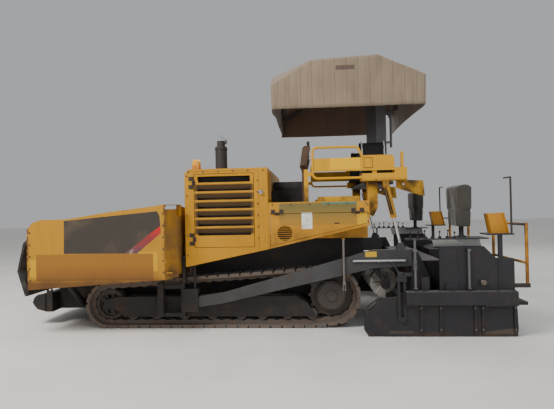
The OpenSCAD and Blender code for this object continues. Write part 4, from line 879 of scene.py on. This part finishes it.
def cover_sheet(side, sign):
    """Canvas bag over a control panel: closed at the top, strapped, loose at the hem."""
    points, faces = [], []
    rings = CROWN_RINGS + DROP_RINGS
    for k in range(rings + 1):
        points += cover_ring(k, sign)
    for k in range(rings):
        for i in range(AROUND):
            this, following = k * AROUND, (k + 1) * AROUND
            j = (i + 1) % AROUND
            quad = [this + i, following + i, following + j, this + j]
            faces.append(quad if sign > 0 else quad[::-1])
    piece = mesh_object("control_cover_sheet_" + side, points, faces)
    close_crown(piece.data)
    heights = [point.co.z for point in piece.data.vertices]
    pinned = [n for n, z in enumerate(heights) if z > COVER_SHOULDER or abs(z - STRAP_Z) < 0.012]
    simulate(piece, pinned, 16, grow=0.02, most=0.02)
    finish_cloth(piece, "cover", 0.003)
    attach(piece, "screed_extension_" + side)
    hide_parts("control_cover_" + side)


def cushion(name, size, at, tilt):
    """A crowned pad: a closed form blown up a little, its sides pulled in along the seam."""
    wide, louvre_shade, high = size
    form = bmesh.new()
    bmesh.ops.create_cube(form, size=1.0)
    for point in form.verts:
        point.co = Vector((point.co.x * wide, point.co.y * louvre_shade, point.co.z * high))
    bmesh.ops.bevel(form, geom=form.edges[:], offset=min(size) * 0.32, segments=3, affect="EDGES")
    mesh = bpy.data.meshes.new(name)
    form.to_mesh(mesh)
    form.free()
    piece = new_object(name, mesh)
    remesh = piece.modifiers.new("Remesh", "REMESH")
    remesh.mode = "VOXEL"
    remesh.voxel_size = 0.009
    apply_modifiers(piece)
    for point in piece.data.vertices:
        x, y, z = point.co.x / (wide / 2), point.co.y / (louvre_shade / 2), point.co.z / (high / 2)
        seam = hump(abs(x) - 0.52, 0.05) * (1 if abs(z) > 0.5 else 0.3)
        point.co.z -= math.copysign(0.006 * seam, z)
        point.co.z *= 1 - 0.25 * max(abs(x), abs(y)) ** 4
    simulate(piece, [], 12, pressure=3.0, gravity=0.0, most=0.008)
    set_finish(piece, "vinyl")
    piece.data.transform(Matrix.Translation(at) @ Matrix.Rotation(tilt, 4, "X"))
    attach(piece, "tractor")


# Seats: their middle, and the pads' sizes, places from the middle plane and over SEAT_Z
SEAT_X, SEAT_Z = -1.665, 2.165
SEAT_PAD, SEAT_PAD_Y, SEAT_PAD_UP = (0.39, 0.33, 0.085), 0.865, 0.012
BACK_PAD, BACK_PAD_Y, BACK_PAD_UP, BACK_LEAN = (0.35, 0.30, 0.07), 0.672, 0.225, 1.47


def seat_cushions(side, sign):
    seat_at = (SEAT_X, sign * SEAT_PAD_Y, SEAT_Z + SEAT_PAD_UP)
    cushion("seat_cushion_" + side, SEAT_PAD, seat_at, 0.0)
    back_at = (SEAT_X, sign * BACK_PAD_Y, SEAT_Z + BACK_PAD_UP)
    cushion("seat_back_cushion_" + side, BACK_PAD, back_at, sign * BACK_LEAN)


for side, sign in SIDES.items():
    cover_sheet(side, sign)
    seat_cushions(side, sign)


# Small fittings, gathered into one piece for each body and finish

def ring(middle, right, up, radius, sides):
    turns = [2 * math.pi * k / sides for k in range(sides)]
    return [middle + right * radius * math.cos(turn) + up * radius * math.sin(turn) for turn in turns]


def ring_faces(rings, sides):
    """Faces between rings of points, and one over each end."""
    faces = []
    for low in range(0, (rings - 1) * sides, sides):
        for k in range(sides):
            j = (k + 1) % sides
            faces.append([low + k, low + j, low + sides + j, low + sides + k])
    faces.append(list(range(sides))[::-1])
    faces.append([(rings - 1) * sides + k for k in range(sides)])
    return faces


def tube(points, radius, sides=10):
    """A round bar along points, closed at both ends."""
    points = [Vector(point) for point in points]
    upright = abs((points[1] - points[0]).normalized().z) >= 0.9
    lift = Vector((1, 0, 0)) if upright else Vector((0, 0, 1))
    made = []
    for n, middle in enumerate(points):
        ahead = (points[min(n + 1, len(points) - 1)] - points[max(n - 1, 0)]).normalized()
        right = ahead.cross(lift).normalized()
        made += ring(middle, right, right.cross(ahead), radius, sides)
    return made, ring_faces(len(points), sides)


def turned(profile, at, axis, sides=16):
    """A turned form: radius and height pairs round an axis, closed at both ends."""
    axis = Vector(axis).normalized()
    right = axis.orthogonal().normalized()
    made = []
    for radius, height in profile:
        made += ring(Vector(at) + axis * height, right, axis.cross(right), radius, sides)
    return made, ring_faces(len(profile), sides)


def bolt(at, axis, radius):
    """A hexagonal head on its washer."""
    washer = radius * 1.5
    head = [(radius, 0.002), (radius, 0.010), (radius * 0.7, 0.012)]
    return turned([(washer, -0.002), (washer, 0.002)] + head, at, axis, 6)


LEVER_RADIUS, KNOB_RADIUS = 0.005, 0.013


def lever(foot, tip):
    """A thin lever with a round knob on its end."""
    foot, tip = Vector(foot), Vector(tip)
    turns = (-0.9, -0.4, 0.1, 0.6, 1.1)
    belly = [(KNOB_RADIUS * math.cos(turn), KNOB_RADIUS * math.sin(turn)) for turn in turns]
    knob = [(0.003, -KNOB_RADIUS)] + belly + [(0.002, KNOB_RADIUS)]
    return [tube([foot, tip], LEVER_RADIUS, 8), turned(knob, tip, tip - foot, 12)]


def gather(name, forms, finish, body):
    """Makes one piece of several forms, each given as points and faces."""
    points, faces = [], []
    for made, sides in forms:
        base = len(points)
        points += made
        faces += [[base + k for k in face] for face in sides]
    piece = mesh_object(name, points, faces)
    piece.data.set_sharp_from_angle(angle=math.radians(40))
    piece.data.materials.append(finishes[finish])
    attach(piece, body)


def spread(low, high, count):
    return [low + (high - low) * k / (count - 1) for k in range(count)]


def bolt_rows(rows, distance, sign, radius):
    """Bolts on a side face, in rows as x from, x to, z from, z to, count."""
    bolts = []
    for x0, x1, z0, z1, count in rows:
        for x, z in zip(spread(x0, x1, count), spread(z0, z1, count)):
            bolts.append(bolt((x, sign * distance, z), (0, sign, 0), radius))
    return bolts


# Bolts: a face's distance from the middle, and rows as x from, x to, z from, z to, count
TRACTOR_SIDE, WING_SIDE, GATE_SIDE = 1.22, 1.55, 1.516
TRACTOR_BOLTS = [
    (-0.045, -0.045, 1.24, 2.02, 6), (0.925, 0.925, 1.02, 2.10, 5), (-0.12, 0.90, 2.155, 2.155, 6),
    (-0.24, -1.48, 1.685, 1.685, 6), (-1.505, -1.505, 1.44, 1.66, 3),
]
WING_BOLTS = [(2.955, 2.955, 0.75, 1.38, 5), (1.155, 1.155, 0.84, 1.60, 6)]
GATE_BOLTS = [(x, x, 0.09, 0.36, 2) for x in (-2.09, -2.33, -2.745, -2.835, -3.222)]
SHELF_BOLT_X, SHELF_BOLT_Y, SHELF_TOP = (-1.95, -3.18), 1.56, 0.571


def tractor_bolts(side, sign):
    bolts = bolt_rows(TRACTOR_BOLTS, TRACTOR_SIDE, sign, 0.008)
    gather("side_bolts_" + side, bolts, "bolt", "tractor")


def wing_bolts(side, sign):
    bolts = bolt_rows(WING_BOLTS, WING_SIDE, sign, 0.009)
    gather("wing_bolts_" + side, bolts, "bolt", "hopper_wing_" + side)


def gate_bolts(side, sign):
    bolts = bolt_rows(GATE_BOLTS, GATE_SIDE, sign, 0.011)
    for x in spread(*SHELF_BOLT_X, 8):
        bolts.append(bolt((x, sign * SHELF_BOLT_Y, SHELF_TOP), (0, 0, 1), 0.012))
    gather("gate_bolts_" + side, bolts, "bolt", "screed_extension_" + side)


# Turned fittings as radius, height pairs from the face that they stand on
LATCH = [(0.017, -0.002), (0.017, 0.008), (0.030, 0.010), (0.033, 0.018), (0.028, 0.026), (0.012, 0.029)]
WHEEL = [(0.012, -0.002), (0.012, 0.020), (0.034, 0.024), (0.038, 0.034), (0.032, 0.042), (0.010, 0.044)]
POST_FOOT = [(0.060, 0.0), (0.060, 0.012), (0.034, 0.014), (0.032, 0.03)]
VALVE = [(0.020, -0.004), (0.020, 0.022), (0.013, 0.027)]


def latch(side, sign):
    knob = turned(LATCH, (-0.091, sign * TRACTOR_SIDE, 1.86), (0, sign, 0))
    gather("latch_" + side, [knob], "rod", "tractor")


def gate_knob(side, sign):
    wheel = turned(WHEEL, (-2.848, sign * 1.50, 0.672), (0, sign, 0))
    gather("gate_knob_" + side, [wheel], "bolt", "screed_extension_" + side)


# Piping of a seat's back: y, z up its front, and its distance from the seat's middle
PIPING = [(0.722, 2.34), (0.714, 2.42), (0.698, 2.50), (0.668, 2.555), (0.636, 2.572)]
PIPING_OFF, PIPING_RADIUS = 0.158, 0.011


def seat_strips(side, sign):
    strips = []
    for x in (SEAT_X - PIPING_OFF, SEAT_X + PIPING_OFF):
        strips.append(tube([(x, sign * y, z) for y, z in PIPING], PIPING_RADIUS))
    gather("seat_strips_" + side, strips, "piping", "tractor")


# Levers on a console: the row's y, and the x and height of their feet and tips
CONSOLE_LEVER_Y = (0.70, 0.98)
FOOT_X, FOOT_Z, TIP_X, TIP_Z = -0.722, 2.478, -0.735, 2.548


def console_levers(side, sign):
    levers = []
    for k, y in enumerate(spread(*CONSOLE_LEVER_Y, 5)):
        levers += lever((FOOT_X, sign * y, FOOT_Z), (TIP_X + 0.012 * (k % 3 - 1), sign * y, TIP_Z))
    gather("console_levers_" + side, levers, "plastic", "tractor")


# Valves on the screed's top plate: the row's x, its distance from the middle, and heights of
# the valves' feet and of their levers' feet and tips
VALVE_X, VALVE_Y = (-1.98, -2.52), 1.505
VALVE_FOOT, LEVER_FOOT, LEVER_TIP = 1.222, 1.218, 1.292


def screed_valves(side, sign):
    valves = []
    y = sign * VALVE_Y
    for k, x in enumerate(spread(*VALVE_X, 7)):
        valves += lever((x, y, LEVER_FOOT), (x - 0.012 * (k % 2), y, LEVER_TIP + 0.012 * (k % 3)))
        valves.append(turned(VALVE, (x, y, VALVE_FOOT), (0, 0, 1), 12))
    gather("screed_valves_" + side, valves, "plastic", "screed_extension_" + side)


# Post under a cover: its place, foot and top heights
POST_X, POST_Y, POST_FOOT_Z, POST_TOP = -2.69, 1.24, 1.220, 1.62


def cover_post(side, sign):
    y = sign * POST_Y
    pipe = tube([(POST_X, y, POST_FOOT_Z), (POST_X, y, POST_TOP)], 0.030, 16)
    flange = turned(POST_FOOT, (POST_X, y, POST_FOOT_Z + 0.001), (0, 0, 1), 20)
    gather("cover_post_" + side, [pipe, flange], "gate", "screed_extension_" + side)


# Two hoses down each lift ram: x, z of the first, the second's step forward, their side
HOSE = [(-1.742, 1.885), (-1.765, 1.80), (-1.800, 1.66), (-1.835, 1.52)]
HOSE_STEP, HOSE_Y = 0.026, 1.2095


def ram_hoses(side, sign):
    hoses = [tube([(x + off, sign * HOSE_Y, z) for x, z in HOSE], 0.009) for off in (0.0, HOSE_STEP)]
    gather("ram_hoses_" + side, hoses, "plastic", "lift_ram_" + side)


FITTINGS = [
    tractor_bolts, wing_bolts, latch, seat_strips, console_levers,
    screed_valves, gate_bolts, gate_knob, cover_post, ram_hoses,
]
for side, sign in SIDES.items():
    for add_fitting in FITTINGS:
        add_fitting(side, sign)


# Floor, light and world

def add_stage():
    bpy.ops.mesh.primitive_plane_add(size=80, location=(0, 0, -0.002))
    floor = bpy.context.object
    floor.name = "floor"
    coat = Finish("floor_pale", rgb(236, 234, 230), rough=0.9)
    coat.lay(rgb(226, 224, 220), coat.cloud(0.8, 0.3, 0.7))
    floor.data.materials.append(coat.done(0.0))


def add_light(name, at, size, power, colour=(1, 1, 1), aim=(0, 0, 1)):
    data = bpy.data.lights.new(name, "AREA")
    data.size = size
    data.energy = power
    data.color = colour
    light = new_object(name, data)
    light.location = at
    light.rotation_euler = (Vector(aim) - Vector(at)).to_track_quat("-Z", "Y").to_euler()


def add_lights():
    add_light("key", at=(5.0, 6.0, 9.0), size=4.0, power=1050, colour=(1.0, 0.96, 0.9))
    add_light("fill", at=(-7.0, 8.0, 5.0), size=7.0, power=300, colour=(0.92, 0.96, 1.0), aim=(-1, 0, 1))
    add_light("back", at=(-2.0, -9.0, 7.0), size=6.0, power=450)
    world = bpy.data.worlds.new("studio")
    world.use_nodes = True
    backdrop = world.node_tree.nodes["Background"]
    backdrop.inputs["Color"].default_value = (0.86, 0.88, 0.9, 1.0)
    backdrop.inputs["Strength"].default_value = 0.5
    bpy.context.scene.world = world


add_stage()
add_lights()
